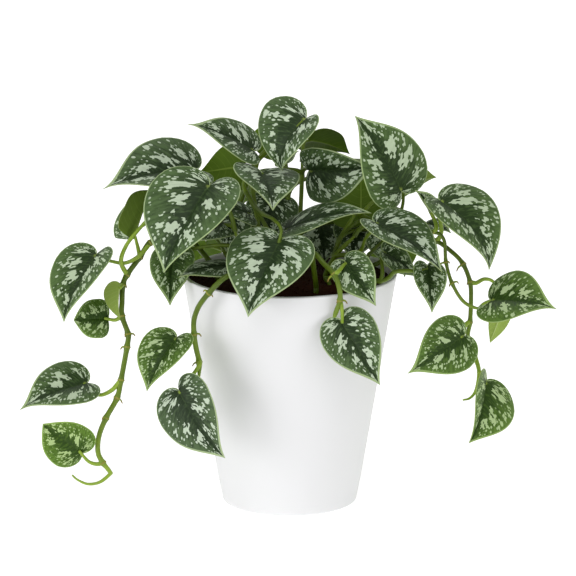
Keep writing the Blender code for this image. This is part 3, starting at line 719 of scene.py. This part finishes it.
def grown(name, source, tree, values):
    """A plain mesh object from a source object run through a tree. The source is removed."""
    modifier = source.modifiers.new(tree.name, "NODES")
    modifier.node_group = tree
    for item in tree.interface.items_tree:
        if item.in_out == "INPUT" and item.name in values:
            modifier[item.identifier] = values[item.name]
    graph = bpy.context.evaluated_depsgraph_get()
    mesh = bpy.data.meshes.new_from_object(source.evaluated_get(graph), depsgraph=graph)
    source.modifiers.remove(modifier)
    bpy.data.objects.remove(source)
    mesh.name = name
    return place_in_scene(name, mesh)


def place_in_scene(name, data):
    thing = bpy.data.objects.new(name, data)
    bpy.context.scene.collection.objects.link(thing)
    return thing


def mesh_in_scene(name, points, faces):
    mesh = bpy.data.meshes.new(name)
    mesh.from_pydata(points, [], faces)
    return place_in_scene(name, mesh)


# Blades

def flat_rows(shoulder):
    """Midrib height and margin point of every row of a blade, from the lobes to the tip."""
    lobe = bezier(LOBE_CURVE, LOBE_ROWS)
    side = bezier((*SIDE_START, (shoulder, SHOULDER_ALONG), (0.0, 1.0)), SIDE_ROWS)
    height = np.concatenate([np.zeros(len(lobe)), SIDE_ROWS ** VEIN_RISE])
    return height, np.concatenate([lobe, side])


def flat_blade(leaf):
    """Across and along of every point of the flat blade, and each row's margin reach."""
    height, margin = flat_rows(leaf.shoulder)
    out = np.abs(COLUMNS)
    across = margin[:, :1] * out * (1 + leaf.skew * np.sign(COLUMNS)) * leaf.width / 2
    along = height[:, None] + (margin[:, 1:] - height[:, None]) * out
    along = (along - leaf.sweep * height[:, None] * (1 - height[:, None]) * out * (1 - out)) * leaf.length
    return across, np.where(along < 0, along * leaf.lobe, along), margin


def blade_points(leaf):
    """Points of the blade's middle surface, rows by columns, in the leaf's own directions."""
    across, along, margin = flat_blade(leaf)
    out = np.abs(COLUMNS)
    half = leaf.width / 2
    fold = math.radians(leaf.fold)
    curl = math.radians(leaf.curl)
    turned = fold - curl * across / half
    level = half / curl * (math.sin(fold) - np.sin(turned))
    lift = half / curl * (np.cos(turned) - math.cos(fold))
    shift = leaf.phase + RIPPLE_SHIFT * np.sign(COLUMNS)
    ripple = np.sin(leaf.ripples * math.pi * along / leaf.length + shift)
    lift = lift + leaf.wave * ripple * out ** 2 * (1 - margin[:, 1:])
    arc_along, arc_rise, slope = midrib_arc(leaf.length, leaf.bend)
    shares = np.linspace(0, leaf.length, len(arc_along))
    here = np.clip(along, 0, leaf.length)
    behind = along - here
    tilt = np.interp(here, shares, slope)
    ahead = np.interp(here, shares, arc_along) + behind * np.cos(tilt) - lift * np.sin(tilt)
    risen = np.interp(here, shares, arc_rise) + behind * np.sin(tilt) + lift * np.cos(tilt)
    return np.stack([np.sign(COLUMNS) * level, ahead, risen], axis=-1)


def grid_normals(grid):
    """Upper-side normals of a grid of rows and columns."""
    down = np.gradient(grid, axis=0)
    over = np.gradient(grid, axis=1)
    normals = np.cross(over, down)
    return normals / np.maximum(np.linalg.norm(normals, axis=2, keepdims=True), 1e-12)


def blade_grids(leaf):
    """Upper and lower surface of a blade: thin at the margin, grooved along the midrib."""
    grid = leaf.base + blade_points(leaf) @ np.array(leaf_directions(leaf))
    across, along, _ = flat_blade(leaf)
    normals = grid_normals(grid)
    out = np.abs(COLUMNS)
    normals[:len(LOBE_ROWS), MIDRIB] = normals[len(LOBE_ROWS), MIDRIB]
    normals[-1] = normals[-2, MIDRIB]
    thickness = MARGIN_THICKNESS + (BLADE_THICKNESS - MARGIN_THICKNESS) * (1 - out ** 3)
    thickness = np.tile(thickness, (len(across), 1))
    thickness[-1] = MARGIN_THICKNESS
    fading = 1 - 0.7 * np.clip(along / leaf.length, 0, 1)
    rib = np.exp(-(across / RIB_WIDTH) ** 2) * fading
    upper = grid + normals * (thickness / 2 - GROOVE_DEPTH * rib)[..., None]
    lower = grid - normals * (thickness / 2 + RIB_HEIGHT * rib)[..., None]
    return upper, lower, across, along


def row_shares(leaf):
    """How far each row's margin point lies along the margin, from notch to tip."""
    _, margin = flat_rows(leaf.shoulder)
    edge = np.stack([margin[:, 0] * leaf.width / 2, margin[:, 1] * leaf.length], axis=-1)
    steps = np.linalg.norm(np.diff(np.vstack([[0.0, 0.0], edge]), axis=0), axis=1)
    return np.cumsum(steps) / steps.sum()


def joined_points(rows, columns):
    """For every grid point the one that stands for it: those at the base and at the tip meet."""
    index = np.arange(rows * columns).reshape(rows, columns)
    index[:len(LOBE_ROWS), MIDRIB] = index[0, MIDRIB]
    index[-1] = index[-1, 0]
    return np.concatenate([index.ravel(), index.ravel() + rows * columns])


def blade_quads(rows, columns):
    """Corners of a blade's quads, and their finish: 0 upper side, 1 lower side, 2 margin."""
    count = rows * columns
    index = np.arange(count).reshape(rows, columns)
    a, b = index[:-1, :-1].ravel(), index[:-1, 1:].ravel()
    c, d = index[1:, 1:].ravel(), index[1:, :-1].ravel()
    top = np.stack([a, b, c, d], axis=-1)
    loop = np.concatenate([index[0, ::-1], index[1:, 0], index[-1, 1:], index[-2:0:-1, -1]])
    after = np.roll(loop, -1)
    rim = np.stack([loop, after, after + count, loop + count], axis=-1)
    finish = np.repeat([0, 1, 2], [len(top), len(top), len(rim)])
    return np.concatenate([top, top[:, ::-1] + count, rim]).tolist(), finish.tolist()


def blade_arrays(leaf):
    """One blade: its points, its faces, the faces' finishes, and every corner's two places."""
    upper, lower, across, along = blade_grids(leaf)
    rows, columns = across.shape
    used, joined = np.unique(joined_points(rows, columns), return_inverse=True)
    joined = joined.tolist()
    faces, finishes, corners = [], [], []
    for quad, finish in zip(*blade_quads(rows, columns)):
        face = [one for one, before in zip(quad, quad[-1:] + quad[:-1]) if joined[one] != joined[before]]
        if len(face) > 2:
            faces.append([joined[one] for one in face])
            finishes.append(finish)
            corners += face
    vein = np.stack([np.tile(COLUMNS, (rows, 1)), np.tile(row_shares(leaf)[:, None], columns)], axis=-1)
    plain = np.stack([across * np.sign(COLUMNS), along], axis=-1) / MM
    flat = np.array(corners) % (rows * columns)
    points = np.concatenate([upper.reshape(-1, 3), lower.reshape(-1, 3)])[used]
    return points, faces, finishes, vein.reshape(-1, 2)[flat], plain.reshape(-1, 2)[flat]


def blade_object(name, stem_name, materials):
    """One mesh with every blade of a stem, its veins' and markings' places stored on it."""
    leaves = STEMS[stem_name].leaves
    parts = [blade_arrays(each) for each in leaves]
    faces = []
    start = 0
    for points, own, *_ in parts:
        faces += [[start + corner for corner in face] for face in own]
        start += len(points)
    made = mesh_in_scene(name, np.concatenate([part[0] for part in parts]).tolist(), faces)
    mesh = made.data
    for material in materials:
        mesh.materials.append(material)
    mesh.polygons.foreach_set("material_index", [finish for part in parts for finish in part[2]])
    for label, column in (("vein", 3), ("plain", 4)):
        places = np.concatenate([part[column] for part in parts])
        mesh.uv_layers.new(name=label).uv.foreach_set("vector", places.astype(np.float32).ravel())
    freshness = FRESHNESS.get(stem_name, (PLAIN_FRESHNESS,) * len(parts))
    draws = [[random.random() for _ in range(3)] for _ in parts]
    seeds = np.concatenate([np.tile(draw, (len(part[0]), 1)) for draw, part in zip(draws, parts)])
    fresh = np.concatenate([np.full(len(part[0]), share) for share, part in zip(freshness, parts)])
    mesh.attributes.new("leaf_seed", "FLOAT_VECTOR", "POINT").data.foreach_set("vector", seeds.ravel())
    mesh.attributes.new("fresh", "FLOAT", "POINT").data.foreach_set("value", fresh)
    mesh.polygons.foreach_set("use_smooth", np.ones(len(mesh.polygons), bool))
    return made


# Pot and soil

def wall_radius(height):
    """Outer radius of the pot at a height."""
    return POT_FOOT_RADIUS + (POT_RIM_RADIUS - POT_FOOT_RADIUS) * height / POT_HEIGHT


def rounding(centre_out, centre_up, radius, start, end, steps=6):
    """Profile points round a corner, angles in degrees from straight out."""
    angles = np.radians(np.linspace(start, end, steps + 1))
    return [(centre_out + radius * math.cos(a), centre_up + radius * math.sin(a)) for a in angles]


def turned(name, profile, sides):
    """A solid turned from a closed profile of radius and height pairs, its ends on the axis."""
    angles = np.arange(sides) * math.tau / sides
    points = [(0.0, 0.0, profile[0][1])]
    for radius, height in profile[1:-1]:
        points += [(radius * math.cos(a), radius * math.sin(a), height) for a in angles]
    points.append((0.0, 0.0, profile[-1][1]))
    last = len(points) - 1
    faces = []
    for side in range(sides):
        after = (side + 1) % sides
        faces.append((0, 1 + after, 1 + side))
        for ring in range(len(profile) - 3):
            low = 1 + ring * sides
            high = low + sides
            faces.append((low + side, low + after, high + after, high + side))
        top = 1 + (len(profile) - 3) * sides
        faces.append((top + side, top + after, last))
    made = mesh_in_scene(name, points, faces)
    made.data.polygons.foreach_set("use_smooth", np.ones(len(faces), bool))
    return made


def make_pot(material):
    rim_out = POT_RIM_RADIUS - RIM_ROUNDING
    rim_in = POT_RIM_RADIUS - POT_WALL + RIM_ROUNDING
    rim_up = POT_HEIGHT - RIM_ROUNDING
    foot = POT_FOOT_RADIUS - FOOT_ROUNDING
    profile = [(0.0, 0.0), (foot * 0.5, 0.0), (foot - 1 * MM, 0.0)]
    profile += rounding(foot, FOOT_ROUNDING, FOOT_ROUNDING, -90, 0)
    for share in np.linspace(0.1, 0.96, 10):
        profile.append((wall_radius(share * POT_HEIGHT), share * POT_HEIGHT))
    profile += rounding(rim_out, rim_up, RIM_ROUNDING, 0, 90)
    profile += rounding(rim_in, rim_up, RIM_ROUNDING, 90, 180)
    for share in (0.95, 0.7, 0.3):
        profile.append((wall_radius(share * POT_HEIGHT) - POT_WALL, share * POT_HEIGHT))
    profile += [(wall_radius(POT_FLOOR) - POT_WALL, POT_FLOOR), (0.0, POT_FLOOR)]
    pot = turned("white_pot", profile, POT_SIDES)
    pot.data.materials.append(material)
    return pot


def make_soil(material):
    """The plug of soil, crowned and crumbly on top."""
    floor = POT_FLOOR + SOIL_GAP
    foot = wall_radius(floor) - POT_WALL - SOIL_GAP
    edge = wall_radius(SOIL_TOP) - POT_WALL - SOIL_GAP
    profile = [(0.0, floor), (foot, floor), (edge, SOIL_TOP)]
    for share in np.linspace(1.0, 0.0, SOIL_RINGS)[1:-1]:
        profile.append((edge * share, SOIL_TOP + SOIL_CROWN * (1 - share ** 2)))
    profile.append((0.0, SOIL_TOP + SOIL_CROWN))
    soil = turned("soil_plug", profile, SOIL_SIDES)
    lumps = random.Random(SOIL_SEED)
    waves = [
        (lumps.uniform(150, 1400), lumps.uniform(0, math.pi), lumps.uniform(0, math.tau))
        for _ in range(SOIL_WAVES)
    ]
    for vertex in soil.data.vertices:
        x, y, z = vertex.co
        if z > SOIL_TOP + 0.1 * MM:
            for often, turn, phase in waves:
                swing = math.sin((x * math.cos(turn) + y * math.sin(turn)) * often + phase)
                vertex.co.z += SOIL_UNEVENNESS * swing * 120 / (often + 100)
    soil.data.materials.append(material)
    return soil


def soil_disc():
    """The top of the soil alone, for crumbs to lie on."""
    edge = wall_radius(SOIL_TOP) - POT_WALL - CRUMB_MARGIN
    points = [(0.0, 0.0, SOIL_TOP + SOIL_CROWN)]
    faces = []
    for ring in range(1, DISC_RINGS + 1):
        share = ring / DISC_RINGS
        height = SOIL_TOP + SOIL_CROWN * (1 - share ** 2)
        for side in range(DISC_SIDES):
            angle = side * math.tau / DISC_SIDES
            points.append((edge * share * math.cos(angle), edge * share * math.sin(angle), height))
    for side in range(DISC_SIDES):
        after = (side + 1) % DISC_SIDES
        faces.append((0, 1 + side, 1 + after))
        for ring in range(DISC_RINGS - 1):
            low = 1 + ring * DISC_SIDES
            high = low + DISC_SIDES
            faces.append((low + side, high + side, high + after, low + after))
    return mesh_in_scene("soil_disc", points, faces)


# Finishes

def shader(name, **values):
    """A material with a Principled shader whose plain inputs are set to the values."""
    material = bpy.data.materials.new(name)
    material.use_nodes = True
    tree = material.node_tree
    principled = tree.nodes["Principled BSDF"]
    for label, value in values.items():
        principled.inputs[label.replace("_", " ")].default_value = value
    return material, tree, principled


def smooth_step(tree, value, low, high):
    given = {"Value": value, "From Min": low, "From Max": high}
    return result(tree, "ShaderNodeMapRange", given, interpolation_type="SMOOTHSTEP")


def both_steps(tree, first, second):
    """The product of two smooth steps, each given as its value, low and high."""
    return times(tree, smooth_step(tree, *first), smooth_step(tree, *second))


def paint(tree, principled, colour):
    tree.links.new(colour, principled.inputs["Base Color"])


def mixed(tree, share, first, second):
    """One colour blended into another by a share."""
    made = node(tree, "ShaderNodeMix", data_type="RGBA")
    for socket, value in zip((made.inputs[0], made.inputs[6], made.inputs[7]), (share, first, second)):
        if isinstance(value, bpy.types.NodeSocket):
            tree.links.new(value, socket)
        else:
            socket.default_value = value
    return made.outputs[2]


def linear(red, green, blue):
    """A colour given by screen values from 0 to 255."""
    parts = [value / 255 for value in (red, green, blue)]
    return (*(p / 12.92 if p <= 0.04045 else ((p + 0.055) / 1.055) ** 2.4 for p in parts), 1.0)


def leaf_places(tree):
    """What every blade finish reads: vein place, flat place in mm, and the leaf's own draws."""
    across, share, _ = split(tree, result(tree, "ShaderNodeUVMap", uv_map="vein"))
    plain = split(tree, result(tree, "ShaderNodeUVMap", uv_map="plain"))
    drawn = node(tree, "ShaderNodeAttribute", attribute_name="leaf_seed").outputs["Vector"]
    first, second, third = split(tree, drawn)
    side = math_node(tree, "SIGN", across)
    out = math_node(tree, "ABSOLUTE", across)
    reach = math_node(tree, "DIVIDE", math_node(tree, "ABSOLUTE", plain[0]), out)
    return SimpleNamespace(
        out=out, share=share, drawn=third, along=plain[1],
        inside=times(tree, reach, minus(tree, 1.0, out)),
        shift_out=times(tree, first, 37.0),
        shift_along=scaled(tree, side, 29.0, times(tree, second, 53.0)),
        fresh=node(tree, "ShaderNodeAttribute", attribute_name="fresh").outputs["Fac"],
    )


def split(tree, vector):
    """The three numbers of a vector or colour."""
    return node(tree, "ShaderNodeSeparateXYZ", {0: vector}).outputs


def vein_place(tree, places, out, share, steps_out, steps_along):
    """A place along the lateral veins, shifted for each leaf and each side of its midrib."""
    x = scaled(tree, out, steps_out, places.shift_out)
    y = scaled(tree, share, steps_along, places.shift_along)
    return result(tree, "ShaderNodeCombineXYZ", {0: x, 1: y})


def voronoi(tree, place, randomness=0.9):
    """Flat cells: distance to the nearest centre, its place, and the three draws of its cell."""
    cells = node(
        tree, "ShaderNodeTexVoronoi", {"Vector": place, "Scale": 1.0, "Randomness": randomness},
        voronoi_dimensions="2D",
    )
    return cells.outputs["Distance"], cells.outputs["Position"], split(tree, cells.outputs["Color"])


def noise(tree, place, scale, detail=2.0):
    return result(tree, "ShaderNodeTexNoise", {"Vector": place, "Scale": scale, "Detail": detail})


def vein_cells(tree, places):
    """The small cells between the finest veins: each one's own place on the blade and its draws."""
    place = vein_place(tree, places, places.out, places.share, CELLS_OUT, CELLS_ALONG)
    wobble = node(tree, "ShaderNodeTexNoise", {"Vector": place, "Scale": 0.7, "Detail": 2.0}).outputs["Color"]
    centred = vector_math(tree, "SUBTRACT", {0: wobble, 1: (0.5, 0.5, 0.5)})
    bent = vector_math(tree, "MULTIPLY_ADD", {0: centred, 1: CELL_WOBBLE, 2: place})
    _, centre, draws = voronoi(tree, bent)
    x, y, _ = split(tree, centre)
    out = math_node(tree, "DIVIDE", minus(tree, x, places.shift_out), CELLS_OUT)
    share = math_node(tree, "DIVIDE", minus(tree, y, places.shift_along), CELLS_ALONG)
    return SimpleNamespace(out=out, share=share, draws=draws)


def clusters(tree, places, cell):
    """Large ragged blotches, about one to a gap between the main veins."""
    along = scaled(tree, cell.share, CLUSTERS_ALONG, times(tree, places.shift_along, 3.1))
    rows = node(
        tree, "ShaderNodeTexVoronoi", {"W": along, "Scale": 1.0, "Randomness": 0.55}, voronoi_dimensions="1D"
    )
    where, length, width = split(tree, rows.outputs["Color"])
    middle = scaled(tree, where, 0.26, 0.32)
    reach = scaled(tree, length, 0.12, 0.13)
    breadth = scaled(tree, width, 0.14, 0.16)
    x = math_node(tree, "DIVIDE", minus(tree, cell.out, middle), reach)
    y = math_node(tree, "DIVIDE", minus(tree, along, rows.outputs["W"]), breadth)
    far = math_node(tree, "SQRT", math_node(tree, "ADD", times(tree, x, x), times(tree, y, y)))
    uneven = noise(tree, vein_place(tree, places, cell.out, cell.share, 5.0, 22.0), 1.0, 1.0)
    rough = scaled(tree, uneven, 2.6, scaled(tree, cell.draws[0], 0.9, -1.75))
    fullness = scaled(tree, places.drawn, 0.3, 0.72)
    return math_node(tree, "LESS_THAN", math_node(tree, "ADD", far, rough), fullness)


def spots(tree, places, cell):
    """Middling ragged spots scattered between the blotches."""
    place = vein_place(tree, places, cell.out, cell.share, SPOTS_OUT, SPOTS_ALONG)
    distance, _, draws = voronoi(tree, place, 0.8)
    outer = smooth_step(tree, cell.out, 0.45, 0.7)
    size = scaled(tree, draws[0], 0.52, scaled(tree, outer, 0.05, -0.15))
    ragged = scaled(tree, cell.draws[1], 0.12, distance)
    near = math_node(tree, "LESS_THAN", ragged, size)
    zone = both_steps(tree, (cell.out, 0.14, 0.24), (cell.out, 0.95, 0.85))
    return times(tree, near, math_node(tree, "GREATER_THAN", zone, 0.5))


def dots(tree, places):
    """Small round dots towards the margin."""
    place = vein_place(tree, places, places.out, places.share, DOTS_OUT, DOTS_ALONG)
    distance, _, draws = voronoi(tree, place)
    size = scaled(tree, draws[0], 0.5, -0.12)
    dot = smooth_step(tree, minus(tree, size, distance), 0.0, 0.06)
    return times(tree, dot, both_steps(tree, (places.out, 0.35, 0.5), (places.out, 0.95, 0.9)))


def upper_finish():
    """Satin green with ragged silver blotches between the veins, and dots towards the margin."""
    material, tree, principled = shader("leaf_upper", Roughness=0.42, Specular_IOR_Level=0.16)
    places = leaf_places(tree)
    cell = vein_cells(tree, places)
    marks = math_node(tree, "MAXIMUM", clusters(tree, places, cell), spots(tree, places, cell))
    silver = math_node(tree, "MAXIMUM", marks, dots(tree, places))
    dark = mixed(tree, places.fresh, linear(32, 48, 25), linear(42, 68, 9))
    light = mixed(tree, places.fresh, linear(76, 97, 62), linear(90, 122, 40))
    fine = vein_place(tree, places, places.out, places.share, 9.0, 90.0)
    mottle = noise(tree, fine, 0.5, 4.0)
    towards_margin = smooth_step(tree, places.out, 0.05, 1.1)
    lighter = scaled(tree, minus(tree, mottle, 0.5), 2.4, towards_margin)
    green = mixed(tree, lighter, dark, light)
    tint = mixed(tree, places.fresh, linear(190, 204, 182), linear(172, 196, 132))
    shade = scaled(tree, mottle, 0.4, 0.7)
    colour = mixed(tree, times(tree, silver, shade), green, tint)
    rib = both_steps(tree, (places.out, 0.024, 0.006), (places.share, 0.8, 0.3))
    colour = mixed(tree, times(tree, rib, 0.3), colour, linear(98, 122, 66))
    spot = both_steps(tree, (places.out, 0.07, 0.0), (places.along, 2.4, 0.0))
    colour = mixed(tree, spot, colour, linear(150, 170, 84))
    edge = smooth_step(tree, places.inside, 0.75, 0.4)
    colour = mixed(tree, edge, colour, mixed(tree, places.fresh, linear(160, 178, 134), linear(136, 164, 82)))
    paint(tree, principled, colour)
    ridges = math_node(tree, "SINE", times(tree, places.share, math.tau * LATERAL_VEINS))
    swell = times(tree, ridges, smooth_step(tree, places.out, 0.05, 0.4))
    grain = scaled(tree, mottle, 1.2, times(tree, swell, 0.35))
    bump = node(tree, "ShaderNodeBump", {"Height": grain, "Distance": 0.35 * MM, "Strength": 0.8})
    tree.links.new(bump.outputs[0], principled.inputs["Normal"])
    return material


def under_finish():
    material, tree, principled = shader("leaf_under", Roughness=0.5, Specular_IOR_Level=0.04)
    places = leaf_places(tree)
    lines = math_node(tree, "SINE", times(tree, places.share, math.tau * LATERAL_VEINS))
    rib = smooth_step(tree, places.out, 0.06, 0.02)
    veins = smooth_step(tree, lines, 0.93, 1.0)
    pale = math_node(tree, "MAXIMUM", rib, times(tree, veins, 0.35))
    dark = mixed(tree, places.fresh, linear(60, 88, 1), linear(150, 172, 86))
    light = mixed(tree, places.fresh, linear(92, 118, 16), linear(180, 196, 130))
    colour = mixed(tree, pale, dark, light)
    paint(tree, principled, colour)
    return material


def margin_finish():
    return shader("leaf_margin", Roughness=0.5, Base_Color=linear(150, 165, 100))[0]


def stem_finish():
    material, tree, principled = shader("stem_skin", Roughness=0.36, Specular_IOR_Level=0.3)
    place = node(tree, "ShaderNodeTexCoord").outputs["Object"]
    grain = noise(tree, place, STEM_GRAIN, 3.0)
    tint = node(tree, "ShaderNodeAttribute", attribute_name="tint").outputs["Fac"]
    green = mixed(tree, grain, linear(50, 70, 2), linear(94, 116, 20))
    fresh = mixed(tree, grain, linear(108, 138, 18), linear(154, 178, 70))
    dry = mixed(tree, grain, linear(104, 88, 30), linear(150, 124, 62))
    colour = mixed(tree, smooth_step(tree, tint, 0.0, 1.0), green, fresh)
    colour = mixed(tree, smooth_step(tree, tint, 1.2, 1.9), colour, dry)
    paint(tree, principled, colour)
    return material


def pot_finish():
    return shader("white_plastic", Roughness=0.4, Specular_IOR_Level=0.4, Base_Color=POT_WHITE)[0]


def soil_finish():
    material, tree, principled = shader("potting_soil", Roughness=0.95, Specular_IOR_Level=0.08)
    place = node(tree, "ShaderNodeTexCoord").outputs["Object"]
    grain = noise(tree, place, SOIL_GRAIN, 4.0)
    paint(tree, principled, mixed(tree, grain, linear(12, 5, 2), linear(64, 30, 14)))
    return material


def floor_finish():
    return shader(
        "pale_floor", Roughness=0.9, Specular_IOR_Level=0.1, Base_Color=FLOOR_WHITE,
        Emission_Color=LIGHT_WHITE, Emission_Strength=FLOOR_GLOW,
    )[0]


# Studio

def make_floor(material):
    half = FLOOR_HALF_WIDTH
    corners = [(-half, -half, 0), (half, -half, 0), (half, half, 0), (-half, half, 0)]
    floor = mesh_in_scene("floor", corners, [(0, 1, 2, 3)])
    floor.data.materials.append(material)


def make_light(name, place, target, size, power):
    data = bpy.data.lights.new(name, "AREA")
    data.shape = "DISK"
    data.size = size
    data.energy = power
    lamp = place_in_scene(name, data)
    lamp.location = place
    lamp.rotation_euler = aim(np.array(place) - np.array(target))


def aim(away):
    """Rotation of a lamp or camera that looks back along a direction."""
    flat = math.hypot(away[0], away[1])
    return (math.atan2(flat, away[2]), 0.0, math.atan2(away[0], -away[1]))


def make_camera():
    data = bpy.data.cameras.new("camera")
    data.lens = SENSOR * VIEW_DISTANCE / (PIXEL_SIZE * 2 * MIDDLE_PIXEL)
    data.sensor_width = SENSOR
    data.clip_start = 0.1
    data.clip_end = 50
    camera = place_in_scene("camera", data)
    camera.location = VIEW_CENTRE + NEAR * VIEW_DISTANCE
    camera.rotation_euler = aim(NEAR)
    bpy.context.scene.camera = camera


def make_world():
    world = bpy.data.worlds.new("studio")
    world.use_nodes = True
    tree = world.node_tree
    seen_white = node(tree, "ShaderNodeLightPath").outputs["Is Camera Ray"]
    strength = scaled(tree, seen_white, 1.0 - SKY_LIGHT, SKY_LIGHT)
    background = tree.nodes["Background"]
    background.inputs["Color"].default_value = LIGHT_WHITE
    tree.links.new(strength, background.inputs["Strength"])
    bpy.context.scene.world = world


def dress_up(piece, slot, *nodes):
    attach(piece, "root")
    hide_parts(*nodes)


def make_plant():
    blade_finishes = [upper_finish(), under_finish(), margin_finish()]
    skin = stem_finish()
    sweep = sweep_tree()
    for name, one in STEMS.items():
        label = name.removeprefix("stem_")
        leaves = blade_object("leaves_" + label, name, blade_finishes)
        dress_up(leaves, "foliage", name)
        lines = line_object("lines_" + label, stem_lines(one))
        values = {"Sides": 12, "Unevenness": 0.12 * MM, "Grain": 420.0, "Material": skin}
        vine = grown("vine_" + label, lines, sweep, values)
        dress_up(vine, "foliage", name)


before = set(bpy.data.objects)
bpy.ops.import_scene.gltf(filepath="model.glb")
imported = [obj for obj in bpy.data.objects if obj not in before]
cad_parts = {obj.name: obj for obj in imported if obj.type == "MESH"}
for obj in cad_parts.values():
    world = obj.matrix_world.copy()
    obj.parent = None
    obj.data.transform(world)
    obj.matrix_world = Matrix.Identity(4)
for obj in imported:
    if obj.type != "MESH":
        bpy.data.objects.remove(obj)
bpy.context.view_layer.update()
random.seed(LEAF_SEED)
make_world()
make_floor(floor_finish())
for light in LIGHTS:
    make_light(*light)
bpy.context.scene.view_settings.view_transform = "Standard"
bpy.context.scene.view_settings.look = "None"
make_camera()
dress_up(make_pot(pot_finish()), "pot", "pot")
dirt = soil_finish()
dress_up(make_soil(dirt), "soil", "soil")
crumbs = {"Density": 42000.0, "Radius": 0.75 * MM, "Longest": 3.0, "Sink": 0.1 * MM, "Seed": 4}
crumbs["Material"] = dirt
dress_up(grown("soil_crumbs", soil_disc(), crumb_tree(), crumbs), "soil", "soil")
make_plant()
